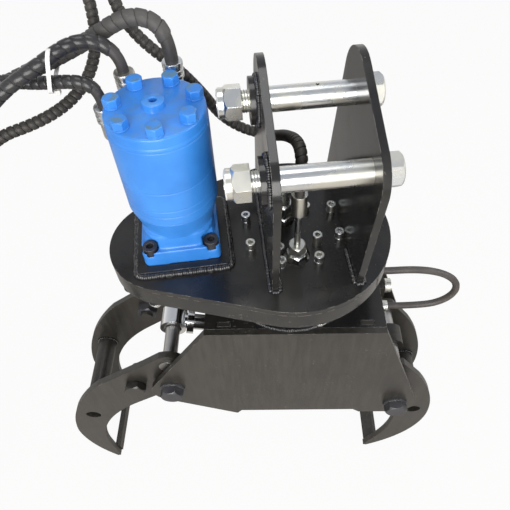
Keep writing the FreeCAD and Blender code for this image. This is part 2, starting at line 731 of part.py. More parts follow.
def pivot_nuts(pivot, claw_half):
    x, z = pivot
    made = []
    for s in (-1, 1):
        near = s * (claw_half - CLAW_T - SLIP)
        body = hexagon(HEX_AF, (x, near, z), (x, near - s * PIVOT_NUT_T, z), 25)
        made.append(body.cut(cyl(PIVOT_D / 2, (x, near, z), (x, near - s * PIVOT_NUT_T, z))))
    return made


def pivot_bushes(pivot, claw_half):
    """Spacers between the frame's plates and a claw's plates."""
    x, z = pivot
    return [tube(19, PIVOT_D / 2, (x, s * (claw_half + SLIP), z), (x, s * (FRAME_HALF_W - FRAME_T), z))
            for s in (-1, 1)]


# ================================================================ claws
def wide_outline():
    """Left claw plate: cylinder lobe, pivot boss, and the long hook down to its tip."""
    (lx, lz), (px, pz) = CYL_PIN_L, PIVOT_L
    return path((lx - 14, lz + 26.5), "via", (lx + 12, lz + 27.5), (lx + LOBE_CLAW_R, lz),
                (px + BOSS_CLAW_R, pz), "via", (px + 28, pz - 29), (px - 4, pz - 42),
                (px - 36, pz - 68), (-292, -404), "via", (-384, -524), (-409, -650),
                (-407, FLOOR_Z + 2), (-414, FLOOR_Z), "via", (-454, -625), (-457, -560),
                "via", (-424, -438), (-352, -326), (lx - 47, lz - 2))


def narrow_outline():
    """Right claw plate, smaller, of the same make."""
    (lx, lz), (px, pz) = CYL_PIN_R, PIVOT_R
    return path((lx + 12, lz + 27.5), "via", (lx - 12, lz + 27.5), (lx - LOBE_CLAW_R, lz),
                (px - BOSS_CLAW_R, pz), "via", (px - 30, pz - 28), (px - 6, pz - 42),
                (206, -446), "via", (232, -566), (203, -706),
                (192, FLOOR_Z + 3), (199, FLOOR_Z), "via", (279, -636), (299, -530),
                "via", (284, -437), (246, -350))


def claw_plate(outline, half, side, pivot, pin, cross):
    low, high = sorted((side * half, side * (half - CLAW_T)))
    shape = plate(outline, low, high)
    for (x, z), radius in ((pivot, PIVOT_D / 2 + RUN), (pin, CYL_PIN_D / 2), (cross, TUBE_D / 2)):
        shape = shape.cut(cyl(radius, (x, low, z), (x, high, z)))
    return shape


def wide_plate(side):
    shape = claw_plate(wide_outline(), WIDE_HALF, side, PIVOT_L, CYL_PIN_L, TUBE_L)
    x, z = STOP_BOLT
    return shape.cut(cyl(PIVOT_D / 2, (x, side * (WIDE_HALF - CLAW_T), z), (x, side * WIDE_HALF, z)))


def narrow_plate(side):
    return claw_plate(narrow_outline(), NARROW_HALF, side, PIVOT_R, CYL_PIN_R, TUBE_R)


def cross_tube(centre, half):
    x, z = centre
    return tube(TUBE_D / 2, TUBE_BORE / 2, (x, -half, z), (x, half, z))


def tip_bar(start, end, half):
    """Bar joining a claw's two tips, its section running from one (x, z) point to another."""
    (x0, z0), (x1, z1) = start, end
    length = math.hypot(x1 - x0, z1 - z0)
    nx, nz = (z1 - z0) / length * TIP_BAR_T, -(x1 - x0) / length * TIP_BAR_T
    inside = half - CLAW_T
    return plate(path((x0, z0), (x1, z1), (x1 + nx, z1 + nz), (x0 + nx, z0 + nz)), -inside, inside)


def claw_pin(centre, half):
    """Cylinder pin held in both plates, with a retaining ring outside each."""
    x, z = centre
    made = [cyl(CYL_PIN_D / 2, (x, -half - 3, z), (x, half + 3, z))]
    for s in (-1, 1):
        made.append(cyl(CYL_PIN_D / 2 + 4, (x, s * half, z), (x, s * (half + 3), z)))
    return fuse(made)


def stop_turn(side):
    """Turn of a stop bolt's hexagon that sets one flat towards the claw's pivot."""
    lean = math.degrees(math.atan2(STOP_BOLT[1] - PIVOT_L[1], STOP_BOLT[0] - PIVOT_L[0]))
    return 30 + side * lean


def stop_bolts():
    """Bolts whose heads pass just under the frame's corner as the wide claw closes."""
    x, z = STOP_BOLT
    made = []
    for s in (-1, 1):
        face, inner = s * WIDE_HALF, s * (WIDE_HALF - CLAW_T)
        head = face + s * 3
        made.append(fuse([cyl(STOP_WASHER_R, (x, face, z), (x, head, z)),
                          hexagon(HEX_AF, (x, head, z), (x, head + s * 12, z), stop_turn(s)),
                          cyl(PIVOT_D / 2, (x, inner - s * 26, z), (x, face, z))]))
    return Part.makeCompound(made)


def stop_nuts():
    x, z = STOP_BOLT
    made = []
    for s in (-1, 1):
        near = s * (WIDE_HALF - CLAW_T)
        body = hexagon(HEX_AF, (x, near, z), (x, near - s * NUT_T, z), 12)
        made.append(body.cut(cyl(PIVOT_D / 2, (x, near, z), (x, near - s * NUT_T, z))))
    return Part.makeCompound(made)


# ================================================================ cylinder
def along_cylinder(shape):
    """Places a piece built along +X from the rod's pin onto the real cylinder line."""
    (x0, z0), (x1, z1) = CYL_PIN_L, CYL_PIN_R
    shape = shape.copy()
    shape.rotate(V(0, 0, 0), Y, -math.degrees(math.atan2(z1 - z0, x1 - x0)))
    shape.translate(V(x0, 0, z0))
    return shape


CYL_LENGTH = math.hypot(CYL_PIN_R[0] - CYL_PIN_L[0], CYL_PIN_R[1] - CYL_PIN_L[1])
BARREL_END = CYL_LENGTH - EYE_D / 2 + 4


def rod():
    """Rod with its eye, collar and piston; the eye's bore has the play of the opened loop."""
    half = EYE_W / 2
    tail = GLAND_AT + GLAND_L + GLAND_SPIGOT + STROKE_OUT + 6
    bore = CYL_PIN_D / 2 + LOOP_PLAY
    shape = fuse([cyl(EYE_D / 2, (0, -half, 0), (0, half, 0)),
                  cyl(ROD_D / 2, (EYE_D / 2 - 6, 0, 0), (tail, 0, 0)),
                  cyl(ROD_COLLAR_D / 2, (ROD_COLLAR[0], 0, 0), (ROD_COLLAR[1], 0, 0)),
                  cyl(BARREL_D / 2 - BARREL_WALL - RUN, (tail, 0, 0), (tail + PISTON_L, 0, 0))])
    return along_cylinder(shape.cut(cyl(bore, (0, -half, 0), (0, half, 0))))


def barrel():
    """Barrel, welded base and eye, with two port bosses on top."""
    start = GLAND_AT + GLAND_L
    half = EYE_W / 2
    body = tube(BARREL_D / 2, BARREL_D / 2 - BARREL_WALL, (start, 0, 0), (BARREL_END - 40, 0, 0))
    base = cyl(BARREL_D / 2, (BARREL_END - 40, 0, 0), (BARREL_END - 22, 0, 0))
    link = box((BARREL_END - 24, -half, -20), (CYL_LENGTH, half, 20))
    eye = cyl(EYE_D / 2, (CYL_LENGTH, -half, 0), (CYL_LENGTH, half, 0))
    ports = [cyl(11, (x, 0, BARREL_D / 2 - 2), (x, 0, BARREL_D / 2 + 10))
             for x in (start + 18, BARREL_END - 54)]
    shape = fuse([body, base, link, eye] + ports)
    shape = shape.cut(cyl(BARREL_D / 2 - BARREL_WALL, (start, 0, 0), (BARREL_END - 40, 0, 0)))
    return along_cylinder(shape.cut(cyl(CYL_PIN_D / 2 + RUN, (CYL_LENGTH, -half, 0),
                                        (CYL_LENGTH, half, 0))))


def gland():
    start = GLAND_AT
    return along_cylinder(fuse([
        tube(GLAND_D / 2, ROD_D / 2 + RUN, (start, 0, 0), (start + GLAND_L, 0, 0)),
        tube(BARREL_D / 2 - BARREL_WALL, ROD_D / 2 + RUN, (start + GLAND_L, 0, 0),
             (start + GLAND_L + GLAND_SPIGOT, 0, 0))]))


# ================================================================ hoses
def rounded(points, radius, name):
    """Tube along straight runs joined by tangent arcs; prints its arc radii."""
    points = [V(*p) for p in points]
    edges, here, radii, total = [], points[0], [], 0.0
    for before, at, after in zip(points, points[1:], points[2:]):
        a, b = (before - at), (after - at)
        short = 0.45 * min(a.Length, b.Length)
        turn = math.pi - a.getAngle(b)
        r = short / math.tan(turn / 2)
        radii.append(r)
        a.normalize()
        b.normalize()
        first, last = at + a * short, at + b * short
        inward = (a + b).normalize()
        middle = at + inward * (r / math.cos(turn / 2) - r)
        edges.append(Part.LineSegment(here, first).toShape())
        edges.append(Part.Arc(first, middle, last).toShape())
        here = last
    edges.append(Part.LineSegment(here, points[-1]).toShape())
    wire = Part.Wire(edges)
    ring = Part.Wire(Part.Circle(points[0], points[1] - points[0], radius).toShape())
    shape = wire.makePipeShell([ring], True, False)
    total = wire.Length
    print("%-13s length %6.0f  volume ratio %.4f  radii %s" % (
        name, total, shape.Volume / (math.pi * radius ** 2 * total), [round(r) for r in radii]))
    return shape


def coupler(points):
    """Quick coupler on a hose's end: crimped ferrule, hexagon and sleeve, lying on the floor."""
    end, last = V(*points[-1]), V(*points[-2])
    way = V(end.x - last.x, end.y - last.y, 0).normalize()

    def at(far):
        p = end + way * far
        return (p.x, p.y, p.z)
    r = COUPLER_D / 2
    return fuse([cyl(r * 0.86, at(0), at(COUPLER_L * 0.36)),
                 cyl(r * 0.76, at(COUPLER_L * 0.36), at(COUPLER_L * 0.44)),
                 cyl(r, at(COUPLER_L * 0.44), at(COUPLER_L * 0.82)),
                 cyl(r * 0.8, at(COUPLER_L * 0.82), at(COUPLER_L))])


def ferrules():
    """Crimped ferrules at the motor end of the three motor hoses, seated on their fittings."""
    made = []
    for route in (MOTOR_HOSE_1, MOTOR_HOSE_2, MOTOR_HOSE_3):
        x, y, top = route[0]
        made.append(cyl(FERRULE_D / 2, (x, y, top - FERRULE_L), (x, y, top)))
    return made


def jumper_line():
    return [(x, JUMPER_Y, z) for x, z in JUMPER]


def jumper_fittings():
    """Nut on the rotary joint's side port, and the nut and black plug of the port block."""
    (x0, z0), (x1, z1) = JUMPER[0], JUMPER[-1]
    y = JUMPER_Y
    inner = hexagon(24, (x0 - 30, y, z0), (x0, y, z0)).cut(cyl(ROTOR_R, (0, 0, ROTOR_LOW), (0, 0, z0 + 30)))
    block_face = PORT_BLOCK[1]
    outer = fuse([hexagon(24, (block_face, y, z1), (block_face + 10, y, z1)),
                  cyl(10, (block_face + 10, y, z1), (x1, y, z1))])
    plug = fuse([cyl(7, (block_face, y, z1 + 66), (block_face + 4, y, z1 + 66)),
                 cyl(12, (block_face + 4, y, z1 + 66), (block_face + 14, y, z1 + 66))])
    return Part.makeCompound([inner, outer, plug])


def port_block():
    """Steel block that the jumper's far end screws into, hung from the top plate by a strap."""
    x0, x1, z0, z1 = PORT_BLOCK
    block = box((x0, JUMPER_Y - 22, z0), (x1, JUMPER_Y + 22, z1))
    strap = box((x0 - 2, STRAP_Y[0], z1 - 50), (x0 - 2 + STRAP_T, STRAP_Y[1], FRAME_TOP - FRAME_T))
    return fuse([block, strap])


# ================================================================ build
os.makedirs("parts", exist_ok=True)
UPPER = {
    "gear_case_top": gear_case_top(),
    "gear_case_skirt": gear_case_skirt(),
    "gear_case_cover": gear_case_cover(),
    "cover_screws": cover_screws(),
    "inner_ring": inner_ring(),
    "slew_screws": slew_screws(),
    "slew_washers": slew_washers(),
    "swivel_stator": swivel_stator(),
    "swivel_screws": swivel_screws(),
    "swivel_adapters": Part.makeCompound([swivel_adapter_a(), swivel_adapter_b()]),
    "motor_pad": motor_pad(),
    "pad_weld": pad_weld(),
    "motor_housing": motor_housing(),
    "motor_gerotor": motor_gerotor(),
    "motor_cover": motor_cover(),
    "motor_cover_bolts": motor_cover_bolts(),
    "motor_flange_screws": motor_flange_screws(),
    "port_fittings": port_fittings(),
    "pinion": pinion(),
    "ear_left": ear(LEFT_IN, -1),
    "ear_right": ear(RIGHT_IN, 1),
    "ear_welds": ear_welds(),
    "pin_collars": pin_collars(),
    "main_pin": hanger_pin(*MAIN_PIN, False),
    "link_pin": hanger_pin(*LINK_PIN, True),
    "pin_nuts": pin_nuts(),
}
ROUTES = (MOTOR_HOSE_1, MOTOR_HOSE_2, MOTOR_HOSE_3, SWIVEL_HOSE)
for number, route in enumerate(ROUTES, 1):
    UPPER["hose_%d" % number] = rounded(route, HOSE_D[number - 1] / 2, "hose_%d" % number)
UPPER["hose_ends"] = Part.makeCompound(ferrules() + [coupler(route) for route in ROUTES])
LOWER = {
    "ring_gear": ring_gear(),
    "neck_drum": neck_drum(),
    "swivel_rotor": swivel_rotor(),
    "frame_top": frame_top(),
    "frame_front": side_plate(-1),
    "frame_rear": side_plate(1),
    "frame_ribs": frame_ribs(),
    "pivot_bolts": Part.makeCompound(pivot_bolts(PIVOT_L, WIDE_HALF) + pivot_bolts(PIVOT_R, NARROW_HALF)),
    "pivot_nuts": Part.makeCompound(pivot_nuts(PIVOT_L, WIDE_HALF) + pivot_nuts(PIVOT_R, NARROW_HALF)),
    "pivot_bushes": Part.makeCompound(pivot_bushes(PIVOT_L, WIDE_HALF)
                                      + pivot_bushes(PIVOT_R, NARROW_HALF)),
    "jumper_hose": rounded(jumper_line(), JUMPER_D / 2, "jumper_hose"),
    "jumper_fittings": jumper_fittings(),
    "port_block": port_block(),
    "wide_plate_front": wide_plate(-1),
    "wide_plate_rear": wide_plate(1),
    "wide_tube": cross_tube(TUBE_L, WIDE_HALF),
    "wide_tip_bar": tip_bar(*WIDE_BAR, WIDE_HALF),
    "wide_pin": claw_pin(CYL_PIN_L, WIDE_HALF),
    "stop_bolts": stop_bolts(),
    "stop_nuts": stop_nuts(),
    "narrow_plate_front": narrow_plate(-1),
    "narrow_plate_rear": narrow_plate(1),
    "narrow_tube": cross_tube(TUBE_R, NARROW_HALF),
    "narrow_tip_bar": tip_bar(*NARROW_BAR, NARROW_HALF),
    "narrow_pin": claw_pin(CYL_PIN_R, NARROW_HALF),
    "barrel": barrel(),
    "gland": gland(),
    "rod": rod(),
}
for name, shape in UPPER.items():
    save(name, shape)
for name, shape in LOWER.items():
    save(name, shape, lower=True)
print(len(UPPER) + len(LOWER), "nodes")
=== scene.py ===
# %% [markdown]
# # Dressing a hydraulic log grapple
#
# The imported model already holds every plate, pin and bolt in its true place. This lesson gives
# each of them a finish and adds what a solid modeller leaves out: the spiral wrap on the
# hoses, the ripples of the weld beads, threads, crimps and worn paint.

# %% Load the frame
import json
import math
import random

import bmesh
import bpy
from mathutils import Euler, Matrix, Vector

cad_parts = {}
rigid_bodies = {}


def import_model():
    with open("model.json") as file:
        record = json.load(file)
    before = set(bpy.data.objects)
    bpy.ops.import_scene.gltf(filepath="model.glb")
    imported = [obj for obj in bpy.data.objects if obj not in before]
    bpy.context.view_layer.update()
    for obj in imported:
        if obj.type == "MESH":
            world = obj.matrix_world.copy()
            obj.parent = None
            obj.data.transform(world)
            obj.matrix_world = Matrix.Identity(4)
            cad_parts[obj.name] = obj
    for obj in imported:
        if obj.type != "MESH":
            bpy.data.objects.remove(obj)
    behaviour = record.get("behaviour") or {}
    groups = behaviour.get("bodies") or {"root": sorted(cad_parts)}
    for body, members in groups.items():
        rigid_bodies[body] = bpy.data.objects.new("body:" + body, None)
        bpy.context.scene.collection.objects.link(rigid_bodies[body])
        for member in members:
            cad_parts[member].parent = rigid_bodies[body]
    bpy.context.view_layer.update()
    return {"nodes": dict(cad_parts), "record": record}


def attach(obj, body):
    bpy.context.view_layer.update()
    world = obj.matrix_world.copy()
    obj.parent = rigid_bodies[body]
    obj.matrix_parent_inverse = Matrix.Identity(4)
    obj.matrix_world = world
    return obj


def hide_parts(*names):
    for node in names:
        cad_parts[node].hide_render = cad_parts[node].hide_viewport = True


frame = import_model()

# %% [markdown]
# The model's origin is the centre of the main hanger pin. Most places on the grapple are easier
# to name from the slewing axis at the gear case's top face, in millimetres, so two helpers turn
# such a place into the frame's metres. The lower frame stands turned a few degrees about the
# slewing axis, and its pieces use the second helper.

# %% Places named from the slewing axis
MM = 0.001
HANGER = Vector((19.1, -77.0, 173.0))
SLEW_REST = Matrix.Rotation(math.radians(-5.8), 4, "Z")
COLLECTION = bpy.context.scene.collection


def place(x, y, z):
    """A point of the upper part, from millimetres about the slewing axis to the frame."""
    return (Vector((x, y, z)) - HANGER) * MM


def lower(x, y, z):
    """A point of the lower frame's square pose, turned to its rest angle."""
    return (SLEW_REST @ Vector((x, y, z)) - HANGER) * MM


FLOOR_Z = place(0, 0, -742).z
print("slewing axis at", [round(v, 4) for v in place(0, 0, 0)], "floor at", round(FLOOR_Z, 3))

# %% [markdown]
# The camera stands close in front of the gear motor and looks down steeply, as a person does who
# has just put the grapple on the ground. A lens as long as the sensor is wide gives the strong
# perspective that makes the claws look small. The camera and the hoses come first, because what
# the camera doesn't see of the hoses decides how far they may spread.

# %% Camera
CAMERA_AT = place(-81.4, -465.9, 550.8)
LOOKS_DOWN, LOOKS_RIGHT, ROLL = math.radians(52.205), math.radians(3.378), math.radians(-2.915)

camera_data = bpy.data.cameras.new("camera")
camera_data.sensor_width = 36.0
camera_data.lens = 36.0
camera_data.clip_start = 0.02
camera = bpy.data.objects.new("camera", camera_data)
COLLECTION.objects.link(camera)
camera.location = CAMERA_AT
aim = Matrix.Rotation(-LOOKS_RIGHT, 3, "Z") @ Matrix.Rotation(math.pi / 2 - LOOKS_DOWN, 3, "X")
camera.rotation_euler = (aim @ Matrix.Rotation(ROLL, 3, "Z")).to_euler()
bpy.context.scene.camera = camera
bpy.context.scene.view_settings.view_transform = "Standard"
print("camera", [round(v, 3) for v in camera.location])

# %% [markdown]
# Four hydraulic hoses leave the grapple. Three stand up from the motor's ports and one from the
# rotary joint, and they arch over to the left, are tied together, and run down to the ground,
# where each ends in a quick coupler. Each is one smooth spline through a short list of points.
# The fourth hose makes one free loop behind the motor before it joins the others.

# %% Hose routes
MOTOR_HOSE_1 = [
    (-134, 80.5, 226), (-134, 80.5, 249), (-146, 91, 270), (-178, 99, 273), (-226, 107, 244),
    (-290, 103, 219), (-370, 84, 196), (-460, 62, 110), (-550, 42, -60), (-630, 18, -250),
    (-697, 2, -430), (-740, -5, -565), (-775, -14, -649.5), (-790, -40, -701.5),
    (-795, -92, -731.7), (-793, -158, -729), (-788, -225, -729)]
MOTOR_HOSE_2 = [
    (-190, 73, 222), (-190, 73, 238), (-205, 78, 255), (-236, 75, 262), (-277, 57, 246),
    (-325, 43, 225), (-395, 27, 165), (-480, 10, 30), (-560, -4, -140), (-635, -12, -330),
    (-690, -16, -490), (-722, -20, -600), (-745, -27, -670), (-757, -50, -712),
    (-762, -98, -733.2), (-761, -160, -729), (-757, -222, -729)]
MOTOR_HOSE_3 = [
    (-217.8, 47.9, 196), (-217.8, 47.9, 212), (-229, 50, 226), (-254, 54, 227), (-293, 68, 219),
    (-345, 73, 226), (-425, 64, 182), (-515, 45, 60), (-600, 22, -120), (-683, 4, -320),
    (-754, -8, -505), (-797, -16, -620), (-822, -26, -684), (-836, -50, -717),
    (-842, -100, -733.7), (-841, -163, -729), (-835, -228, -729)]
SWIVEL_HOSE = [
    (0, -46, 118), (0, -46, 139), (2.5, -38, 161), (2, -12, 169), (-5, 48, 130),
    (-12, 82, 102), (-28, 113, 82), (-60, 130, 84), (-87, 128, 112), (-104, 122, 150),
    (-134, 122, 192), (-172, 128, 228), (-193, 143, 258), (-198, 160, 290), (-181, 186, 328),
    (-139.5, 216, 356), (-109, 253, 420), (-139.5, 290, 484), (-213, 305, 510),
    (-286.5, 290, 484), (-317, 253, 420), (-286.5, 216, 356), (-247, 190, 326),
    (-229, 172, 288), (-225, 158, 250), (-229, 145, 216), (-243, 124, 188), (-268, 96, 172),
    (-305, 68, 166), (-365, 50, 160), (-440, 34, 80), (-520, 8, -90), (-590, -12, -280),
    (-645, -22, -460), (-680, -28, -590), (-703, -34, -668), (-717, -55, -712),
    (-726, -102, -734.2), (-730, -160, -729), (-729, -215, -729)]
ROUTES = (MOTOR_HOSE_1, MOTOR_HOSE_2, MOTOR_HOSE_3, SWIVEL_HOSE)
print("points per hose", [len(route) for route in ROUTES])

# %% [markdown]
# A NURBS spline of order 3 with its ends clamped starts and ends exactly at the route's first and
# last points and cuts smoothly inside its corners. The order and the clamping are set after the
# points exist, or they fall back to straight runs.


# %% A hose as a curve
def cord_curve(name, points, radius):
    """Round tube along a smooth spline whose control points are in the frame's metres."""
    data = bpy.data.curves.new(name, "CURVE")
    data.dimensions = "3D"
    data.bevel_depth = radius
    data.bevel_resolution = 4
    data.resolution_u = 10
    data.use_fill_caps = True
    spline = data.splines.new("NURBS")
    spline.points.add(len(points) - 1)
    for control, point in zip(spline.points, points):
        control.co = (*point, 1.0)
    spline.order_u = 3
    spline.use_endpoint_u = True
    obj = bpy.data.objects.new(name, data)
    COLLECTION.objects.link(obj)
    return obj


WRAP_D = (0.020, 0.017, 0.016, 0.015)
RUBBER_SHARE = 0.40
HOSES = []
for number, (route, wrap_d) in enumerate(zip(ROUTES, WRAP_D), 1):
    points = [place(*p) for p in route]
    HOSES.append(cord_curve("rubber_%d" % number, points, wrap_d * RUBBER_SHARE))
print("hoses", [o.name for o in HOSES])

# %% [markdown]
# What goes along a hose, such as its wrap, is made straight and then bent: every vertex keeps its
# distance along and its offset across. The bend needs the spline's own line with a steady
# cross direction, which is carried from one point to the next with the least turning.


# %% Bending a straight piece along a hose
class Line:
    """The middle line of a curve object, read from the curve with its bevel off."""

    def __init__(self, obj, step=0.002):
        bare = obj.data.copy()
        bare.bevel_depth = 0
        probe = bpy.data.objects.new("probe", bare)
        mesh = bpy.data.meshes.new_from_object(probe)
        raw = [v.co.copy() for v in mesh.vertices]
        bpy.data.objects.remove(probe)
        bpy.data.meshes.remove(mesh)
        lengths = [0.0]
        for a, b in zip(raw, raw[1:]):
            lengths.append(lengths[-1] + (b - a).length)
        self.length = lengths[-1]
        count = int(self.length / step) + 2
        self.step = self.length / (count - 1)
        self.points, k = [], 0
        for i in range(count):
            s = i * self.step
            while k < len(raw) - 2 and lengths[k + 1] < s:
                k += 1
            share = (s - lengths[k]) / max(lengths[k + 1] - lengths[k], 1e-9)
            self.points.append(raw[k].lerp(raw[k + 1], min(max(share, 0.0), 1.0)))
        self.frames = []
        side = None
        for i in range(count):
            ahead = self.points[min(i + 1, count - 1)] - self.points[max(i - 1, 0)]
            ahead.normalize()
            side = ahead.orthogonal() if side is None else side - ahead * side.dot(ahead)
            side.normalize()
            self.frames.append((ahead, side.copy(), ahead.cross(side)))

    def bend(self, co):
        """Moves a point of a straight piece, x along the line, onto it."""
        s = min(max(co.x / self.step, 0.0), len(self.points) - 1.001)
        i = int(s)
        here = self.points[i].lerp(self.points[i + 1], s - i)
        side = self.frames[i][1].lerp(self.frames[i + 1][1], s - i)
        over = self.frames[i][2].lerp(self.frames[i + 1][2], s - i)
        extra = co.x - s * self.step
        return here + side * co.y + over * co.z + self.frames[i][0] * extra


LINES = [Line(o) for o in HOSES]
print("lengths", [round(line.length, 3) for line in LINES])

# %% [markdown]
# Bmesh pieces all end the same way: the mesh gets its object, its shading and the body that it
# rides on. Faces meeting at more than the given angle stay sharp.


# %% Finishing a mesh
def finish_piece(name, bm, body, smooth):
    """Object from a bmesh: doubles merged, faces outwards, riding on a CAD body."""
    bmesh.ops.remove_doubles(bm, verts=bm.verts, dist=1e-6)
    bmesh.ops.recalc_face_normals(bm, faces=bm.faces)
    mesh = bpy.data.meshes.new(name)
    bm.to_mesh(mesh)
    bm.free()
    mesh.shade_smooth()
    mesh.set_sharp_from_angle(angle=math.radians(smooth))
    obj = bpy.data.objects.new(name, mesh)
    COLLECTION.objects.link(obj)
    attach(obj, body)
    return obj


# %% [markdown]
# Spiral wrap is a flat plastic strip wound round the hose, each turn laid against the last. It
# could be a bump pattern, but its seams notch the outline, so it is real. A grid becomes the
# helix: one direction of the grid goes round the strip's own section and the other winds about
# the hose's axis while it moves along. The helix is then bent along the hose. One edge of the
# strip stands a little proud, as its turns do. Screw threads are wound the same way.


# %% Winding a strip
def wind(section, start, turns, pitch, turn_steps):
    """Helix about the X axis from a closed section of (along, radius) points."""
    count = len(section)
    steps = turns * turn_steps
    bm = bmesh.new()
    bmesh.ops.create_grid(bm, x_segments=steps, y_segments=count, size=1)
    for v in bm.verts:
        step = round((v.co.x + 1) / 2 * steps)
        along, radius = section[round((v.co.y + 1) / 2 * count) % count]
        angle = 2 * math.pi * step / turn_steps
        v.co = (start + along + pitch * step / turn_steps,
                radius * math.cos(angle), radius * math.sin(angle))
    bmesh.ops.remove_doubles(bm, verts=bm.verts, dist=1e-7)
    ends = [e for e in bm.edges if e.is_boundary]
    bmesh.ops.holes_fill(bm, edges=ends, sides=count)
    return bm


WRAP_STEPS = 18


def spiral_wrap(name, line, start, end, pitch, radius, thick, gap, lean):
    """Strip wound along a hose between two distances from its first point."""
    wide = pitch - gap
    section = [(0.0, radius - thick), (0.0, radius - 0.35 * thick),
               (0.14 * wide, radius - 0.02 * thick), (0.55 * wide, radius),
               (0.88 * wide, radius + lean - 0.12 * thick),
               (wide, radius + lean - 0.45 * thick), (wide, radius - thick)]
    bm = wind(section, start, int((end - start) / pitch), pitch, WRAP_STEPS)
    for v in bm.verts:
        v.co = line.bend(v.co)
    return finish_piece(name, bm, "upper", smooth=50)


# Start along the hose, pitch, gap between turns and how proud one edge stands.
WRAPS = ((0.018, 0.0130, 0.0009, 0.0006),
         (0.020, 0.0130, 0.0010, 0.0003),
         (0.018, 0.0105, 0.0010, 0.0003),
         (0.004, 0.0080, 0.0013, 0.0001))
WRAP_SHARE, WRAP_SHORT = 0.11, 0.012
wraps = []
for number, (line, wrap_d, (start, pitch, gap, lean)) in enumerate(zip(LINES, WRAP_D, WRAPS), 1):
    made = spiral_wrap("spiral_wrap_%d" % number, line, start,
                       line.length - WRAP_SHORT, pitch, wrap_d / 2 - lean,
                       wrap_d * WRAP_SHARE, gap, lean)
    wraps.append(made)
    print(made.name, "faces", len(made.data.polygons))

# %% [markdown]
# Turned parts, such as crimped ferrules and the motor's body, are lathe shapes: a profile of
# (along, radius) points in millimetres is spun about the Z axis, and the result is then laid
# along the part's own axis.


# %% A lathe
def lathe(bm, profile, start, axis=(0, 0, 1), steps=40):
    """Adds a spun profile to a bmesh, its zero at start, along an axis."""
    part = bmesh.new()
    verts = [part.verts.new((radius * MM, 0, along * MM)) for along, radius in profile]
    edges = [part.edges.new(pair) for pair in zip(verts, verts[1:])]
    bmesh.ops.spin(part, geom=verts + edges, cent=(0, 0, 0), axis=(0, 0, 1),
                   angle=2 * math.pi, steps=steps, use_merge=True)
    bmesh.ops.remove_doubles(part, verts=part.verts, dist=1e-7)
    bmesh.ops.recalc_face_normals(part, faces=part.faces)
    turn = Vector((0, 0, 1)).rotation_difference(Vector(axis)).to_matrix().to_4x4()
    bmesh.ops.transform(part, matrix=Matrix.Translation(start) @ turn, verts=part.verts)
    mesh = bpy.data.meshes.new("turned")
    part.to_mesh(mesh)
    part.free()
    bm.from_mesh(mesh)
    bpy.data.meshes.remove(mesh)


# %% [markdown]
# A hose end is a steel ferrule squeezed onto the rubber in a press, which leaves two or three
# shallow rings. The other end carries a quick coupler: a ferrule, a hexagon and a sliding sleeve
# with a knurled grip, here a row of fine rings.

# %% Ferrules and couplers
FERRULE = [(0, 0), (0, 10.5), (1, 12.2), (4.5, 12.2), (5.2, 11.4), (7.8, 11.4), (8.5, 12.2),
           (11, 12.2), (11.7, 11.4), (14.3, 11.4), (15, 12.2), (19.4, 12.2), (20.8, 11.6),
           (21, 10.6), (21, 0)]
COUPLER = [(0, 0), (0, 8.6), (0.8, 10.6), (6, 10.6), (6.6, 9.9), (9.4, 9.9), (10, 10.6),
           (15, 10.6), (15.6, 9.9), (18.4, 9.9), (19, 10.6), (22, 10.6), (22.4, 9.4), (27, 9.4),
           (27.3, 11.8), (28, 12.4), (31, 12.4), (31.6, 11.6), (33.4, 11.6), (34, 12.4),
           (36, 12.4), (36.6, 11.6), (38.4, 11.6), (39, 12.4), (41, 12.4), (41.6, 11.6),
           (43.4, 11.6), (44, 12.4), (50, 12.4), (50.8, 11.6), (51, 10), (61.2, 10), (62, 9.2),
           (62, 6.5), (54, 6.5), (54, 0)]
FERRULE_L = FERRULE[-1][0]
MOTOR_HOSES = 3
ferrules, couplers = [], []
for number, route in enumerate(ROUTES, 1):
    if number <= MOTOR_HOSES:
        x, y, z = route[0]
        bm = bmesh.new()
        lathe(bm, FERRULE, place(x, y, z - FERRULE_L))
        ferrules.append(finish_piece("ferrule_%d" % number, bm, "upper", smooth=25))
    end, before = Vector(route[-1]), Vector(route[-2])
    way = end - before
    way.z = 0
    bm = bmesh.new()
    lathe(bm, COUPLER, place(*end), way.normalized())
    couplers.append(finish_piece("coupler_%d" % number, bm, "upper", smooth=25))
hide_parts("hose_ends")
print("hose ends", len(ferrules) + len(couplers))

# %% [markdown]
# One white cable tie holds the three motor hoses together where they leave the arch. It is a thin
# strap, so a flat grid is wound once round the three hoses, following the outline that a tight
# band takes, and thickened. It leans a little, and the small box of its lock stands on it.


# %% Cable tie
def band(centres, radius, samples=72):
    """Points of a tight band round several circles of one radius in a plane."""
    middle = sum(centres, Vector((0, 0))) / len(centres)
    found = []
    for k in range(samples):
        a = 2 * math.pi * k / samples
        way = Vector((math.cos(a), math.sin(a)))
        furthest = max(centres, key=lambda c: (c - middle).dot(way))
        found.append(furthest + way * radius)
    return found


TIE_X = -268.0
TIE_W, TIE_T, TIE_LEAN, TIE_SLACK = 4.6, 1.3, 0.25, 0.0006
LOCK_SIZE, LOCK_ROUND, LOCK_AT = (0.0075, 0.0068, 0.0055), 0.0006, 54
ON_FLOOR = -0.3


def crossing(line, x):
    """Where a hose's middle line passes a plane of constant x."""
    raised = [p for p in line.points if p.z > ON_FLOOR]
    return min(raised, key=lambda p: abs(p.x - place(x, 0, 0).x))


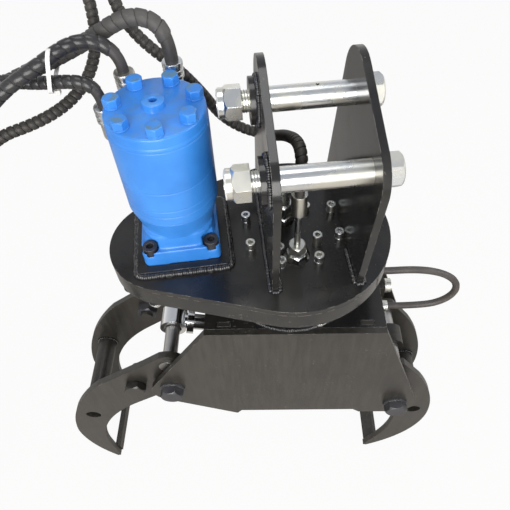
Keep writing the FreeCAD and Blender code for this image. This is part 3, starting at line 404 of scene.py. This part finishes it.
crossings = [crossing(line, TIE_X) for line in LINES[:MOTOR_HOSES]]
outline = band([Vector((p.y, p.z)) for p in crossings], WRAP_D[0] / 2 + TIE_SLACK)
bm = bmesh.new()
bmesh.ops.create_grid(bm, x_segments=len(outline), y_segments=1, size=1)
for v in bm.verts:
    y, z = outline[round((v.co.x + 1) / 2 * len(outline)) % len(outline)]
    slant = (z - crossings[0].z) * TIE_LEAN
    v.co = (crossings[0].x + v.co.y * TIE_W / 2 * MM + slant, y, z)
bmesh.ops.remove_doubles(bm, verts=bm.verts, dist=1e-7)
bmesh.ops.recalc_face_normals(bm, faces=bm.faces)
bmesh.ops.solidify(bm, geom=bm.faces[:], thickness=-TIE_T * MM)
lock = Vector((crossings[0].x + 0.002, outline[LOCK_AT].x, outline[LOCK_AT].y - 0.0015))
made = bmesh.ops.create_cube(bm, size=1, matrix=Matrix.Translation(lock)
                             @ Matrix.Diagonal((*LOCK_SIZE, 1)))
bmesh.ops.bevel(bm, geom=list({e for v in made["verts"] for e in v.link_edges}),
                offset=LOCK_ROUND, affect="EDGES", segments=2, profile=0.5, material=-1)
tie = finish_piece("cable_tie", bm, "upper", smooth=40)
print("tie at", [round(v, 3) for v in lock])

# %% [markdown]
# The jumper hose is held at both ends by the lower frame, so it isn't a free cord. It gets the
# same smooth spline, in the frame's square pose turned to its rest angle.

# %% Jumper hose
JUMPER_Y, JUMPER_R = 20.0, 0.006
JUMPER = [(58, -133), (150, -133), (208, -129), (250, -139), (280, -162), (290, -194),
          (276, -224), (242, -240), (178, -240)]
jumper = cord_curve("jumper", [lower(x, JUMPER_Y, z) for x, z in JUMPER], JUMPER_R)
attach(jumper, "turret")
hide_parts("jumper_hose")
CUFF = [(0, 6.2), (0, 9.6), (1, 10.4), (14, 10.4), (15, 9.6), (17, 9.2), (17, 6.0)]
hose_end_x, hose_end_z = JUMPER[-1]
cuff_outer = lower(hose_end_x, JUMPER_Y, hose_end_z)
cuff_inner = lower(hose_end_x - CUFF[-1][0], JUMPER_Y, hose_end_z)
bm = bmesh.new()
lathe(bm, CUFF, cuff_inner, cuff_outer - cuff_inner)
jumper_cuff = finish_piece("jumper_cuff", bm, "turret", smooth=30)
print("jumper", round(Line(jumper).length, 3), "m long")

# %% [markdown]
# The motor's body is a stack of round plates bolted together and painted as one. What shows is a
# drum with a rounded top rim, a step just under the rear cover, and three faint seams. In the
# middle of the cover a boss holds the drain port. All of it is one lathe profile.

# %% Motor body
MOTOR_AXIS = (-153.9, 5.0)
SEAM_W, SEAM_DEEP = 0.9, 0.55
BODY_R, BODY_BASE, COVER_TOP = 57.0, 90, 219
SEAMS = (201, 141.4, 112.5, 102.4)


def seam(z):
    """A shallow groove of the profile at a height, from above to below."""
    return [(z + SEAM_W, BODY_R), (z + SEAM_W * 0.4, BODY_R - SEAM_DEEP),
            (z - SEAM_W * 0.4, BODY_R - SEAM_DEEP), (z - SEAM_W, BODY_R)]


profile = [(212, 0), (212, 4.3), (227.3, 4.3), (228, 5.0), (228, 11.5), (227.3, 12.4),
           (220.6, 12.5), (219.4, 13.1), (COVER_TOP, 14.2), (COVER_TOP, 53.6), (218.6, 54.8),
           (217.8, 55.7), (216.6, 56.1), (207.2, 56.2), (206.2, 56.4), (205.4, BODY_R)]
for height in SEAMS:
    profile += seam(height)
profile += [(BODY_BASE, BODY_R), (BODY_BASE, 0)]
bm = bmesh.new()
lathe(bm, profile, place(*MOTOR_AXIS, 0), steps=120)
motor_body = finish_piece("motor_body", bm, "upper", smooth=40)
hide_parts("motor_gerotor", "motor_cover")
print("motor body faces", len(motor_body.data.polygons))

# %% [markdown]
# The lower housing is a casting. A casting has no sharp inner corner, and the way to soften all
# of them together is to rebuild a copy of the solid from small cells and smooth it. The copy is
# merged first, because the frame's meshes are loose triangles.


# %% A softened casting
def cast_copy(name, node, cell, rounds):
    """Copy of a CAD node with its edges and corners softened, as a cast surface has them."""
    bm = bmesh.new()
    bm.from_mesh(frame["nodes"][node].data)
    bmesh.ops.remove_doubles(bm, verts=bm.verts, dist=1e-6)
    mesh = bpy.data.meshes.new(name)
    bm.to_mesh(mesh)
    bm.free()
    rough = bpy.data.objects.new("rough", mesh)
    COLLECTION.objects.link(rough)
    remesh = rough.modifiers.new("cells", "REMESH")
    remesh.mode = "VOXEL"
    remesh.voxel_size = cell
    soften = rough.modifiers.new("soften", "SMOOTH")
    soften.factor = 0.5
    soften.iterations = rounds
    seen = rough.evaluated_get(bpy.context.evaluated_depsgraph_get())
    soft = bpy.data.meshes.new_from_object(seen)
    bpy.data.objects.remove(rough)
    soft.materials.clear()
    soft.shade_smooth()
    obj = bpy.data.objects.new(name, soft)
    COLLECTION.objects.link(obj)
    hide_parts(node)
    return obj


CAST_CELL, CAST_ROUNDS = 0.0015, 5
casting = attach(cast_copy("motor_casting", "motor_housing", CAST_CELL, CAST_ROUNDS), "upper")
print("casting faces", len(casting.data.polygons))

# %% [markdown]
# A weld bead is a row of overlapping ripples, one for each small step of the welder's hand. Each
# ripple is a flattened ball, and a seeded random number makes them uneven.

# %% Weld beads
chance = random.Random(7)
WOBBLE, FLATNESS = 0.07, 0.62


def ripples(bm, points, radius, spacing, closed=False):
    """Rows of flattened balls along straight runs between points of the frame."""
    runs = list(zip(points, points[1:] + points[:1])) if closed else list(zip(points, points[1:]))
    for a, b in runs:
        way = (b - a).normalized()
        turn = Vector((1, 0, 0)).rotation_difference(way).to_matrix().to_4x4()
        for k in range(max(1, round((b - a).length / spacing))):
            here = a.lerp(b, min(1.0, (k + 0.5) * spacing / (b - a).length))
            wobble = Vector([chance.uniform(-1, 1) for _ in range(3)]) * radius * WOBBLE
            size = radius * chance.uniform(0.9, 1.08)
            shape = Matrix.Diagonal((FLATNESS * size, size, size, 1))
            bmesh.ops.create_icosphere(bm, subdivisions=2, radius=1,
                                       matrix=Matrix.Translation(here + wobble) @ turn @ shape)


def ring_points(centre, across, up, radius, count=24):
    """Points round a circle in the plane of two directions."""
    return [centre + (across * math.cos(2 * math.pi * k / count)
                      + up * math.sin(2 * math.pi * k / count)) * radius for k in range(count)]


def bead_piece(name, bm, body):
    """A finished row of ripples."""
    piece = finish_piece(name, bm, body, smooth=80)
    return piece


# Each bead's ripple radius and the step from one ripple to the next, in metres.
PAD_BEAD, EAR_BEAD, DRUM_BEAD = (0.0056, 0.0026), (0.0038, 0.0021), (0.0042, 0.0026)
COLLAR_BEAD, TUBE_BEAD = (0.0034, 0.0022), (0.0030, 0.0022)

PAD_HALF, PAD_CORNER, PAD_TURN = 63.5, 9.0, math.radians(1.7)
PAD_BEAD_Z = 2.0
hold = PAD_HALF - PAD_CORNER
corners = []
for quarter, (sx, sy) in enumerate(((1, 1), (-1, 1), (-1, -1), (1, -1))):
    for part in (0, 30, 60, 90):
        angle = math.radians(90 * quarter + part)
        spot = Vector((sx * hold + PAD_CORNER * math.cos(angle),
                       sy * hold + PAD_CORNER * math.sin(angle), 0))
        spot.rotate(Euler((0, 0, PAD_TURN)))
        corners.append(place(MOTOR_AXIS[0] + spot.x, MOTOR_AXIS[1] + spot.y, PAD_BEAD_Z))
bm = bmesh.new()
ripples(bm, corners, *PAD_BEAD, closed=True)
pad_bead = bead_piece("pad_bead", bm, "upper")
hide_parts("pad_weld")

LEFT_OUT, LEFT_IN, RIGHT_IN, RIGHT_OUT = -40.4, -31.4, 69.6, 78.6
EAR_FRONT, EAR_BACK = -103.0, 114.0
OFF_EAR, EAR_BEAD_Z, END_HALF = 1.5, 1.2, 4.0
# Inside the ears the beads stop early, in front of the rotary joint's screws.
EAR_RUNS = ((LEFT_OUT - OFF_EAR, EAR_BACK), (LEFT_IN + OFF_EAR, -82.0),
            (RIGHT_IN - OFF_EAR, -46.0), (RIGHT_OUT + OFF_EAR, EAR_BACK))
bm = bmesh.new()
for x, back in EAR_RUNS:
    ripples(bm, [place(x, EAR_FRONT, EAR_BEAD_Z), place(x, back, EAR_BEAD_Z)], *EAR_BEAD)
for x in ((LEFT_OUT + LEFT_IN) / 2, (RIGHT_IN + RIGHT_OUT) / 2):
    left_end = place(x - END_HALF, EAR_FRONT - 1, EAR_BEAD_Z)
    right_end = place(x + END_HALF, EAR_FRONT - 1, EAR_BEAD_Z)
    ripples(bm, [left_end, right_end], *EAR_BEAD)
ear_bead = bead_piece("ear_bead", bm, "upper")
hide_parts("ear_welds")

MAIN_PIN, LINK_PIN = (-77.0, 173.0), (24.0, 202.0)
ALONG_Y, ALONG_Z = Vector((0, 1, 0)), Vector((0, 0, 1))
COLLAR_R, TUBE_R, DRUM_R, DRUM_FOOT_Z = 0.0275, 0.0200, 0.1012, -109
bm = bmesh.new()
for y, z in (MAIN_PIN, LINK_PIN):
    ring = ring_points(place(LEFT_OUT - 1.0, y, z), ALONG_Y, ALONG_Z, COLLAR_R)
    ripples(bm, ring, *COLLAR_BEAD, closed=True)
bead_piece("collar_bead", bm, "upper")

TUBES = {"claw_left": (-398, -468, 78), "claw_right": (265, -508, 57)}
for body, (x, z, inside) in TUBES.items():
    bm = bmesh.new()
    for side in (-1, 1):
        middle = lower(x, side * (inside - 1.0), z)
        across = (lower(x + 1, 0, z) - lower(x, 0, z)).normalized()
        ripples(bm, ring_points(middle, across, ALONG_Z, TUBE_R), *TUBE_BEAD, closed=True)
    bead_piece("tube_bead_" + body, bm, body)
bm = bmesh.new()
foot = ring_points(lower(0, 0, DRUM_FOOT_Z), Vector((1, 0, 0)), ALONG_Y, DRUM_R, 48)
ripples(bm, foot, *DRUM_BEAD, closed=True)
bead_piece("drum_bead", bm, "turret")

# %% [markdown]
# The pins' threads show between the collars and the nuts. A thread is a small ridge wound about
# the pin, so it is made like the wraps. Each self-locking nut holds a nylon ring at its outer
# end, which the thread has pushed through.

# %% Threads and nylon rings
THREAD_PITCH, THREAD_TURNS, THREAD_STEPS = 0.0030, 3, 36
RIDGE = [(0, 0.0114), (0.0004, 0.0118), (0.0013, 0.0129), (0.0017, 0.0129), (0.0026, 0.0118),
         (0.0030, 0.0114)]
NYLON_RING = [(0.4, 12.2), (-0.8, 12.4), (-1.4, 13.2), (-1.5, 14.6), (-1.0, 16.0), (0.4, 16.4)]
NUT_FACE, NUT_END, THREAD_HIDDEN = LEFT_OUT - 19.0, LEFT_OUT - 45.0, 1.2
for name, (y, z) in (("main", MAIN_PIN), ("link", LINK_PIN)):
    bm = wind(RIDGE, 0, THREAD_TURNS, THREAD_PITCH, THREAD_STEPS)
    bmesh.ops.transform(bm, verts=bm.verts,
                        matrix=Matrix.Translation(place(NUT_FACE - THREAD_HIDDEN, y, z)))
    thread = finish_piece("thread_" + name, bm, "upper", smooth=30)
    bm = bmesh.new()
    lathe(bm, NYLON_RING, place(NUT_END, y, z), (1, 0, 0))
    finish_piece("nylon_" + name, bm, "upper", smooth=50)
print("thread faces", len(thread.data.polygons))

# %% [markdown]
# Under each cover bolt's hexagon is a thin round bearing face, which catches the light as a
# bright ring.

# %% Cover bolt faces
COVER_BOLTS, FIRST_BOLT, BOLT_CIRCLE_R = 7, 118.4, 46
BOLT_FACE = [(0, 0), (0, 9.9), (0.9, 9.8), (1.5, 9.2), (1.5, 0)]
bm = bmesh.new()
for k in range(COVER_BOLTS):
    a = math.radians(FIRST_BOLT - 360 / COVER_BOLTS * k)
    x = MOTOR_AXIS[0] + BOLT_CIRCLE_R * math.cos(a)
    y = MOTOR_AXIS[1] + BOLT_CIRCLE_R * math.sin(a)
    lathe(bm, BOLT_FACE, place(x, y, COVER_TOP), steps=28)
bolt_faces = finish_piece("cover_bolt_faces", bm, "upper", smooth=30)

# %% [markdown]
# # Finishes
#
# A material is a network of nodes, and sums on its values read best as Python. The small class
# below wraps one output socket and turns each operator into a Math node. A second class adds every
# other kind of node to one tree, and a third owns one material and its usual sources of detail.


# %% Shader sums
class Sock:
    """A value inside a material. Sums on it add Math nodes."""

    def __init__(self, tree, socket):
        self.tree, self.socket = tree, socket

    def math(self, operation, *others):
        node = self.tree.nodes.new("ShaderNodeMath")
        node.operation = operation
        for slot, value in zip(node.inputs, (self, *others)):
            feed(self.tree, value, slot)
        return Sock(self.tree, node.outputs[0])

    def __add__(self, other):
        return self.math("ADD", other)

    def __mul__(self, other):
        return self.math("MULTIPLY", other)

    def __rsub__(self, other):
        return self.math("MULTIPLY", -1.0).math("ADD", other)

    __radd__, __rmul__ = __add__, __mul__

    def between(self, low, high):
        """0 below low, 1 above high and a smooth rise between them."""
        node = self.tree.nodes.new("ShaderNodeMapRange")
        node.interpolation_type = "SMOOTHSTEP"
        for slot, value in zip(node.inputs, (self, low, high, 0.0, 1.0)):
            feed(self.tree, value, slot)
        return Sock(self.tree, node.outputs[0])


def feed(tree, value, slot):
    """Links a socket to an input, or sets the input to a plain value."""
    if isinstance(value, Sock):
        tree.links.new(value.socket, slot)
    elif isinstance(value, tuple) and len(value) == 3 and slot.type == "RGBA":
        slot.default_value = (*value, 1.0)
    else:
        slot.default_value = value


class Nodes:
    """Adds nodes to one tree."""

    def __init__(self, tree):
        self.tree = tree

    def node(self, kind, output, settings=None, stops=(), inputs=None):
        """Sets a new node's settings and a ramp's stops, then its sockets, and gives an output."""
        made = self.tree.nodes.new(kind)
        for key, value in (settings or {}).items():
            setattr(made, key, value)
        for k, (position, colour) in enumerate(stops):
            ramp = made.color_ramp.elements
            stop = ramp[k] if k < 2 else ramp.new(position)
            stop.position = position
            stop.color = (*colour, 1)
        for key, value in (inputs or {}).items():
            feed(self.tree, value, made.inputs[key])
        return Sock(self.tree, made.outputs[output])

    def mix(self, first, second, share):
        """Blends two colours."""
        return self.node("ShaderNodeMix", 2, {"data_type": "RGBA"},
                         inputs={0: share, 6: first, 7: second})


class Finish(Nodes):
    """One material with a Principled shader, and the nodes that feed it."""

    def __init__(self, name, **fixed):
        self.material = bpy.data.materials.new(name)
        self.material.use_nodes = True
        super().__init__(self.material.node_tree)
        self.shader = self.tree.nodes["Principled BSDF"]
        self.set(**fixed)

    def set(self, **values):
        """Feeds the shader's own sockets."""
        for key, value in values.items():
            feed(self.tree, value, self.shader.inputs[key.replace("_", " ")])

    def noise(self, scale, detail=3.0, stretch=(1, 1, 1)):
        """Noise on Object coordinates in metres, stretched per axis."""
        here = self.node("ShaderNodeTexCoord", "Object")
        place_on = self.node("ShaderNodeMapping", "Vector", inputs={"Vector": here, "Scale": stretch})
        return self.node("ShaderNodeTexNoise", "Fac",
                         inputs={"Vector": place_on, "Scale": scale, "Detail": detail})

    def edges(self, radius=0.0012):
        """Rounded normal, and how near a sharp edge the point is, from 0 to 1."""
        round_normal = self.node("ShaderNodeBevel", "Normal", {"samples": 4},
                                 inputs={"Radius": radius})
        flat_normal = self.node("ShaderNodeNewGeometry", "Normal")
        agree = self.node("ShaderNodeVectorMath", "Value", {"operation": "DOT_PRODUCT"},
                          inputs={0: round_normal, 1: flat_normal})
        return round_normal, (1 - agree).between(0.02, 0.22)

    def bump(self, height, strength, distance, normal=None):
        """Fine relief, on top of another normal if one is given."""
        inputs = {"Height": height, "Strength": strength, "Distance": distance}
        if normal is not None:
            inputs["Normal"] = normal
        return self.node("ShaderNodeBump", "Normal", inputs=inputs)


# %% [markdown]
# Black enamel covers most of the grapple. On the gear case and the ears it is glossy, with the
# roll marks of the plate under it. On the frame and the claws it is thinner and rubbed, so it
# looks brown-grey. In both the paint is chipped to a light line along the edges, and dust lies
# in cloudy patches.


# %% Black enamel
def enamel(name, deep, rubbed, gloss, worn, streaks):
    paint = Finish(name, Specular_IOR_Level=0.5)
    cloud = paint.noise(9.0, 4.0)
    fine = paint.noise(420.0, 2.0)
    drawn = paint.noise(30.0, 3.0, streaks)
    speck = paint.noise(260.0, 1.0).between(0.70, 0.74) * paint.noise(14.0).between(0.45, 0.62)
    smooth_normal, edge = paint.edges()
    chips = edge * paint.noise(75.0, 3.0).between(worn, worn + 0.10)
    tone = paint.mix(deep, rubbed, (cloud * 0.55 + drawn * 0.45).between(0.35, 0.65))
    tone = paint.mix(tone, (0.16, 0.15, 0.135), speck * 0.5)
    tone = paint.mix(tone, (0.30, 0.28, 0.25), chips)
    paint.set(Base_Color=tone,
              Roughness=gloss + cloud.between(0.35, 0.7) * 0.12 + drawn * 0.08 + chips * 0.25,
              Normal=paint.bump(fine * 0.4 + drawn * 0.6, 0.10, 0.0006, smooth_normal))
    return paint.material


GLOSSY_BLACK = enamel("glossy_black_enamel", (0.010, 0.010, 0.011), (0.022, 0.021, 0.019),
                      0.10, 0.50, (1, 1, 1))
RUBBED_BLACK = enamel("rubbed_black_enamel", (0.020, 0.0185, 0.016), (0.040, 0.036, 0.030),
                      0.26, 0.56, (5, 5, 0.5))

# %% [markdown]
# The motor's blue is a thick semi-gloss enamel. It is slightly uneven, like brushed paint, and
# grey-green grime sits on its upward faces, such as the tops of the bolts. Every edge carries a
# painted highlight: the colour is mixed half way to a lighter blue there.

# %% Blue enamel
def blue_enamel(name, grime):
    paint = Finish(name, Coat_Weight=0.25, Coat_Roughness=0.12)
    cloud = paint.noise(16.0, 3.0)
    ripple = paint.noise(60.0, 2.0)
    smooth_normal, edge = paint.edges(0.0016)
    facing = paint.node("ShaderNodeNewGeometry", "Normal")
    up = paint.node("ShaderNodeSeparateXYZ", "Z", inputs={"Vector": facing})
    dirt = up.between(0.7, 0.95) * paint.noise(85.0, 3.0).between(0.42, 0.62) * grime
    tone = paint.mix((0.030, 0.205, 0.640), (0.045, 0.255, 0.740), cloud.between(0.35, 0.65))
    tone = paint.mix(tone, (0.10, 0.20, 0.27), dirt)
    # Painted highlight: along every edge the colour is mixed half way to a lighter, brighter blue.
    tone = paint.mix(tone, (0.10, 0.36, 0.85), edge * 0.5)
    paint.set(Base_Color=tone, Roughness=0.30 + cloud * 0.10 + dirt * 0.3,
              Normal=paint.bump(ripple, 0.12, 0.0008, smooth_normal))
    return paint.material


BLUE = blue_enamel("blue_enamel", 0.25)
BLUE_DUSTY = blue_enamel("dusty_blue_enamel", 0.9)

# %% [markdown]
# Zinc plating is a metal film. It keeps fine turning marks, shifts between a faint yellow and a
# faint blue, and goes duller where it has been handled. Steel and black oxide use the same
# recipe with other colours.


# %% Metals
TURNING_MARKS = 700.0


def metal(name, first, second, gloss, shine=1.0, rub=None):
    face = Finish(name, Metallic=shine)
    cloud = face.noise(28.0, 3.0)
    fine = face.noise(TURNING_MARKS, 2.0, (6, 1, 1))
    smooth_normal, edge = face.edges(0.0009)
    tone = face.mix(first, second, cloud.between(0.38, 0.62))
    tone = face.mix(tone, rub or first, edge * 0.6)
    face.set(Base_Color=tone, Roughness=gloss + cloud.between(0.3, 0.7) * 0.14,
             Normal=face.bump(fine, 0.10, 0.0003, smooth_normal))
    return face.material


ZINC = metal("zinc_plate", (0.72, 0.74, 0.75), (0.76, 0.75, 0.68), 0.20)
STEEL = metal("machined_steel", (0.42, 0.41, 0.40), (0.50, 0.49, 0.47), 0.28)
OXIDE = metal("black_oxide", (0.060, 0.060, 0.068), (0.085, 0.085, 0.092), 0.34, shine=0.6,
              rub=(0.30, 0.29, 0.28))
CHROME = metal("hard_chrome", (0.78, 0.79, 0.80), (0.80, 0.80, 0.80), 0.06)

# %% [markdown]
# The weld beads were painted wet with the same black, so they are the glossiest thing on the
# grapple and every ripple carries its own highlight.

# %% Beads
bead_paint = Finish("painted_bead", Base_Color=(0.012, 0.012, 0.014), Coat_Weight=0.6,
                    Coat_Roughness=0.06)
spatter = bead_paint.noise(180.0, 3.0)
bead_paint.set(Base_Color=bead_paint.mix((0.010, 0.010, 0.012), (0.060, 0.055, 0.050),
                                         spatter.between(0.56, 0.68)),
               Roughness=0.10 + spatter * 0.16,
               Normal=bead_paint.bump(spatter, 0.25, 0.0006))
BEAD = bead_paint.material

# %% [markdown]
# Rubber and the plastic strip are both nearly black. The thick strip is matt and grey with dust,
# the strip of the other hoses still has its gloss, and the swivel hose's ribs are the dullest.


# %% Rubber and plastics
def plastic(name, deep, dusty, gloss, grain):
    skin = Finish(name)
    cloud = skin.noise(22.0, 4.0)
    fine = skin.noise(grain, 3.0)
    scuffs = skin.noise(140.0, 2.0, (1, 3, 1)).between(0.58, 0.72)
    tone = skin.mix(deep, dusty, cloud.between(0.32, 0.68))
    tone = skin.mix(tone, tuple(min(1.0, 2.2 * c) for c in dusty), scuffs * 0.35)
    skin.set(Base_Color=tone, Roughness=gloss + cloud * 0.12 + scuffs * 0.1,
             Normal=skin.bump(fine * 0.6 + cloud * 0.4, 0.16, 0.0005))
    return skin.material


MATT_WRAP = plastic("matt_wrap", (0.040, 0.038, 0.038), (0.072, 0.068, 0.064), 0.52, 600.0)
GLOSS_WRAP = plastic("glossy_wrap", (0.012, 0.012, 0.015), (0.030, 0.029, 0.030), 0.22, 500.0)
RIB_WRAP = plastic("ribbed_wrap", (0.024, 0.021, 0.018), (0.045, 0.040, 0.034), 0.46, 600.0)
RUBBER = plastic("rubber", (0.022, 0.021, 0.021), (0.045, 0.041, 0.039), 0.48, 900.0)
JUMPER_SKIN = plastic("jumper_rubber", (0.050, 0.044, 0.042), (0.085, 0.074, 0.068), 0.42, 900.0)
NYLON = plastic("white_nylon", (0.62, 0.62, 0.60), (0.74, 0.73, 0.69), 0.40, 300.0)
TIE = plastic("tie_nylon", (0.66, 0.66, 0.64), (0.78, 0.77, 0.74), 0.34, 200.0)

# %% [markdown]
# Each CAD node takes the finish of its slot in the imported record, apart from the few that look
# different in use: the gear case, the ears and the frame's top are glossier than the rest, and
# the motor's cover bolts are dustier than the motor. Each Blender piece takes its own finish.

# %% Finishes onto the frame
BY_SLOT = {"black_paint": RUBBED_BLACK, "blue_paint": BLUE, "zinc": ZINC, "bare_steel": STEEL,
           "black_oxide": OXIDE, "weld": BEAD, "hose": RUBBER, "chrome_rod": CHROME}
BY_NODE = {"motor_cover_bolts": BLUE_DUSTY}
for node in ("gear_case_top", "gear_case_skirt", "gear_case_cover", "motor_pad", "ear_left",
             "ear_right", "pin_collars", "neck_drum", "frame_top"):
    BY_NODE[node] = GLOSSY_BLACK


def cover_with(obj, material):
    obj.data.materials.clear()
    obj.data.materials.append(material)


for part in frame["record"]["subparts"]:
    node = part["node"]
    cover_with(frame["nodes"][node], BY_NODE.get(node, BY_SLOT[part["material_slot"]]))

PIECES = {motor_body: BLUE, casting: BLUE, bolt_faces: BLUE, tie: TIE, jumper: JUMPER_SKIN,
          jumper_cuff: ZINC}
PIECES.update(zip(wraps, (MATT_WRAP, GLOSS_WRAP, GLOSS_WRAP, RIB_WRAP)))
PIECES.update({hose: RUBBER for hose in HOSES})
PIECES.update({piece: ZINC for piece in ferrules + couplers})
for piece in COLLECTION.objects:
    if "bead" in piece.name:
        PIECES[piece] = BEAD
    elif piece.name.startswith("thread"):
        PIECES[piece] = ZINC
    elif piece.name.startswith("nylon"):
        PIECES[piece] = NYLON
for piece, material in PIECES.items():
    cover_with(piece, material)
print("pieces with a finish", len(PIECES))

# %% [markdown]
# # Floor and light
#
# The floor is plain and pale. What the camera sees of it, and of the room, is almost pure white,
# while its light on the grapple is that of a warm grey floor, which gives the black paint its
# brownish sheen. The room is a soft dome, brighter near the horizon than overhead.

# %% Floor
FLOOR_HALF, BELOW_FEET, GLOW_SHARE = 4.0, 0.0005, 0.94
bm = bmesh.new()
bmesh.ops.create_grid(bm, x_segments=2, y_segments=2, size=FLOOR_HALF)
mesh = bpy.data.meshes.new("floor")
bm.to_mesh(mesh)
bm.free()
floor = bpy.data.objects.new("floor", mesh)
floor.location = (0, 0, FLOOR_Z - BELOW_FEET)
COLLECTION.objects.link(floor)
ground = Finish("pale_floor", Base_Color=(0.50, 0.47, 0.43), Roughness=0.9)
seen = ground.node("ShaderNodeLightPath", "Is Camera Ray")
glow = ground.node("ShaderNodeEmission", "Emission", inputs={"Color": (1, 1, 1), "Strength": 1.0})
plain = Sock(ground.tree, ground.shader.outputs[0])
blend = ground.node("ShaderNodeMixShader", "Shader",
                    inputs={0: seen * GLOW_SHARE, 1: plain, 2: glow})
feed(ground.tree, blend, ground.tree.nodes["Material Output"].inputs["Surface"])
floor.data.materials.append(ground.material)

# %% [markdown]
# The room lights the grapple from every side. It is brightest low down, where a real floor and the
# walls of a light tent are, and dimmest overhead, so upward faces look darker than upright ones.

# %% Room
room = bpy.data.worlds.new("room")
bpy.context.scene.world = room
room.use_nodes = True
air = Nodes(room.node_tree)
direction = air.node("ShaderNodeTexCoord", "Generated")
height = air.node("ShaderNodeSeparateXYZ", "Z", inputs={0: direction})
LOW, HIGH, MIDDLE_HEIGHT = (0.95, 0.94, 0.92), (0.42, 0.44, 0.48), (0.62, 0.63, 0.66)
walls = air.node("ShaderNodeValToRGB", 0, stops=((0.0, LOW), (1.0, HIGH), (0.45, MIDDLE_HEIGHT)),
                 inputs={0: height})
camera_ray = air.node("ShaderNodeLightPath", "Is Camera Ray")
back = room.node_tree.nodes["Background"]
feed(room.node_tree, air.mix(walls, (1, 1, 1), camera_ray), back.inputs["Color"])
feed(room.node_tree, 1.0, back.inputs["Strength"])
print("world nodes", len(room.node_tree.nodes))

# %% [markdown]
# Three soft boxes shape it: a large warm one in front, behind the viewer's shoulder, a cooler one
# from the right and a weak one from above and behind that draws the far rims.


# %% Soft boxes
def soft_box(name, location, target, size, energy, tint=(1, 1, 1)):
    """Square area light aimed at a point."""
    data = bpy.data.lights.new(name, "AREA")
    data.shape = "SQUARE"
    data.size = size
    data.energy = energy
    data.color = tint
    lamp = bpy.data.objects.new(name, data)
    COLLECTION.objects.link(lamp)
    lamp.location = location
    lamp.rotation_euler = (Vector(target) - Vector(location)).to_track_quat("-Z", "Y").to_euler()
    return lamp


TARGET = place(-60, 0, 0)
soft_box("key", (-0.5, -2.0, 0.75), TARGET, 1.6, 55.0, (1.0, 0.985, 0.96))
soft_box("side", (2.2, -0.4, 0.9), TARGET, 1.0, 16.0, (0.95, 0.97, 1.0))
soft_box("top", (-0.2, 0.6, 2.4), TARGET, 1.2, 14.0)

# %% [markdown]
# Last, each hose rides on the upper body in place of the CAD hose, which is hidden. The pieces on
# each, its wrap, coupler, ferrule and tie, are gathered in a list.

for number, (hose, wrap, line) in enumerate(zip(HOSES, wraps, LINES), 1):
    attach(hose, "upper")
    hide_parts("hose_%d" % number)
    pieces_on = [wrap, couplers[number - 1]]
    if number <= MOTOR_HOSES:
        pieces_on.append(ferrules[number - 1])
    if number == 1:
        pieces_on.append(tie)
    WRAP_D[number - 1]
print("cords", [hose.name for hose in HOSES])
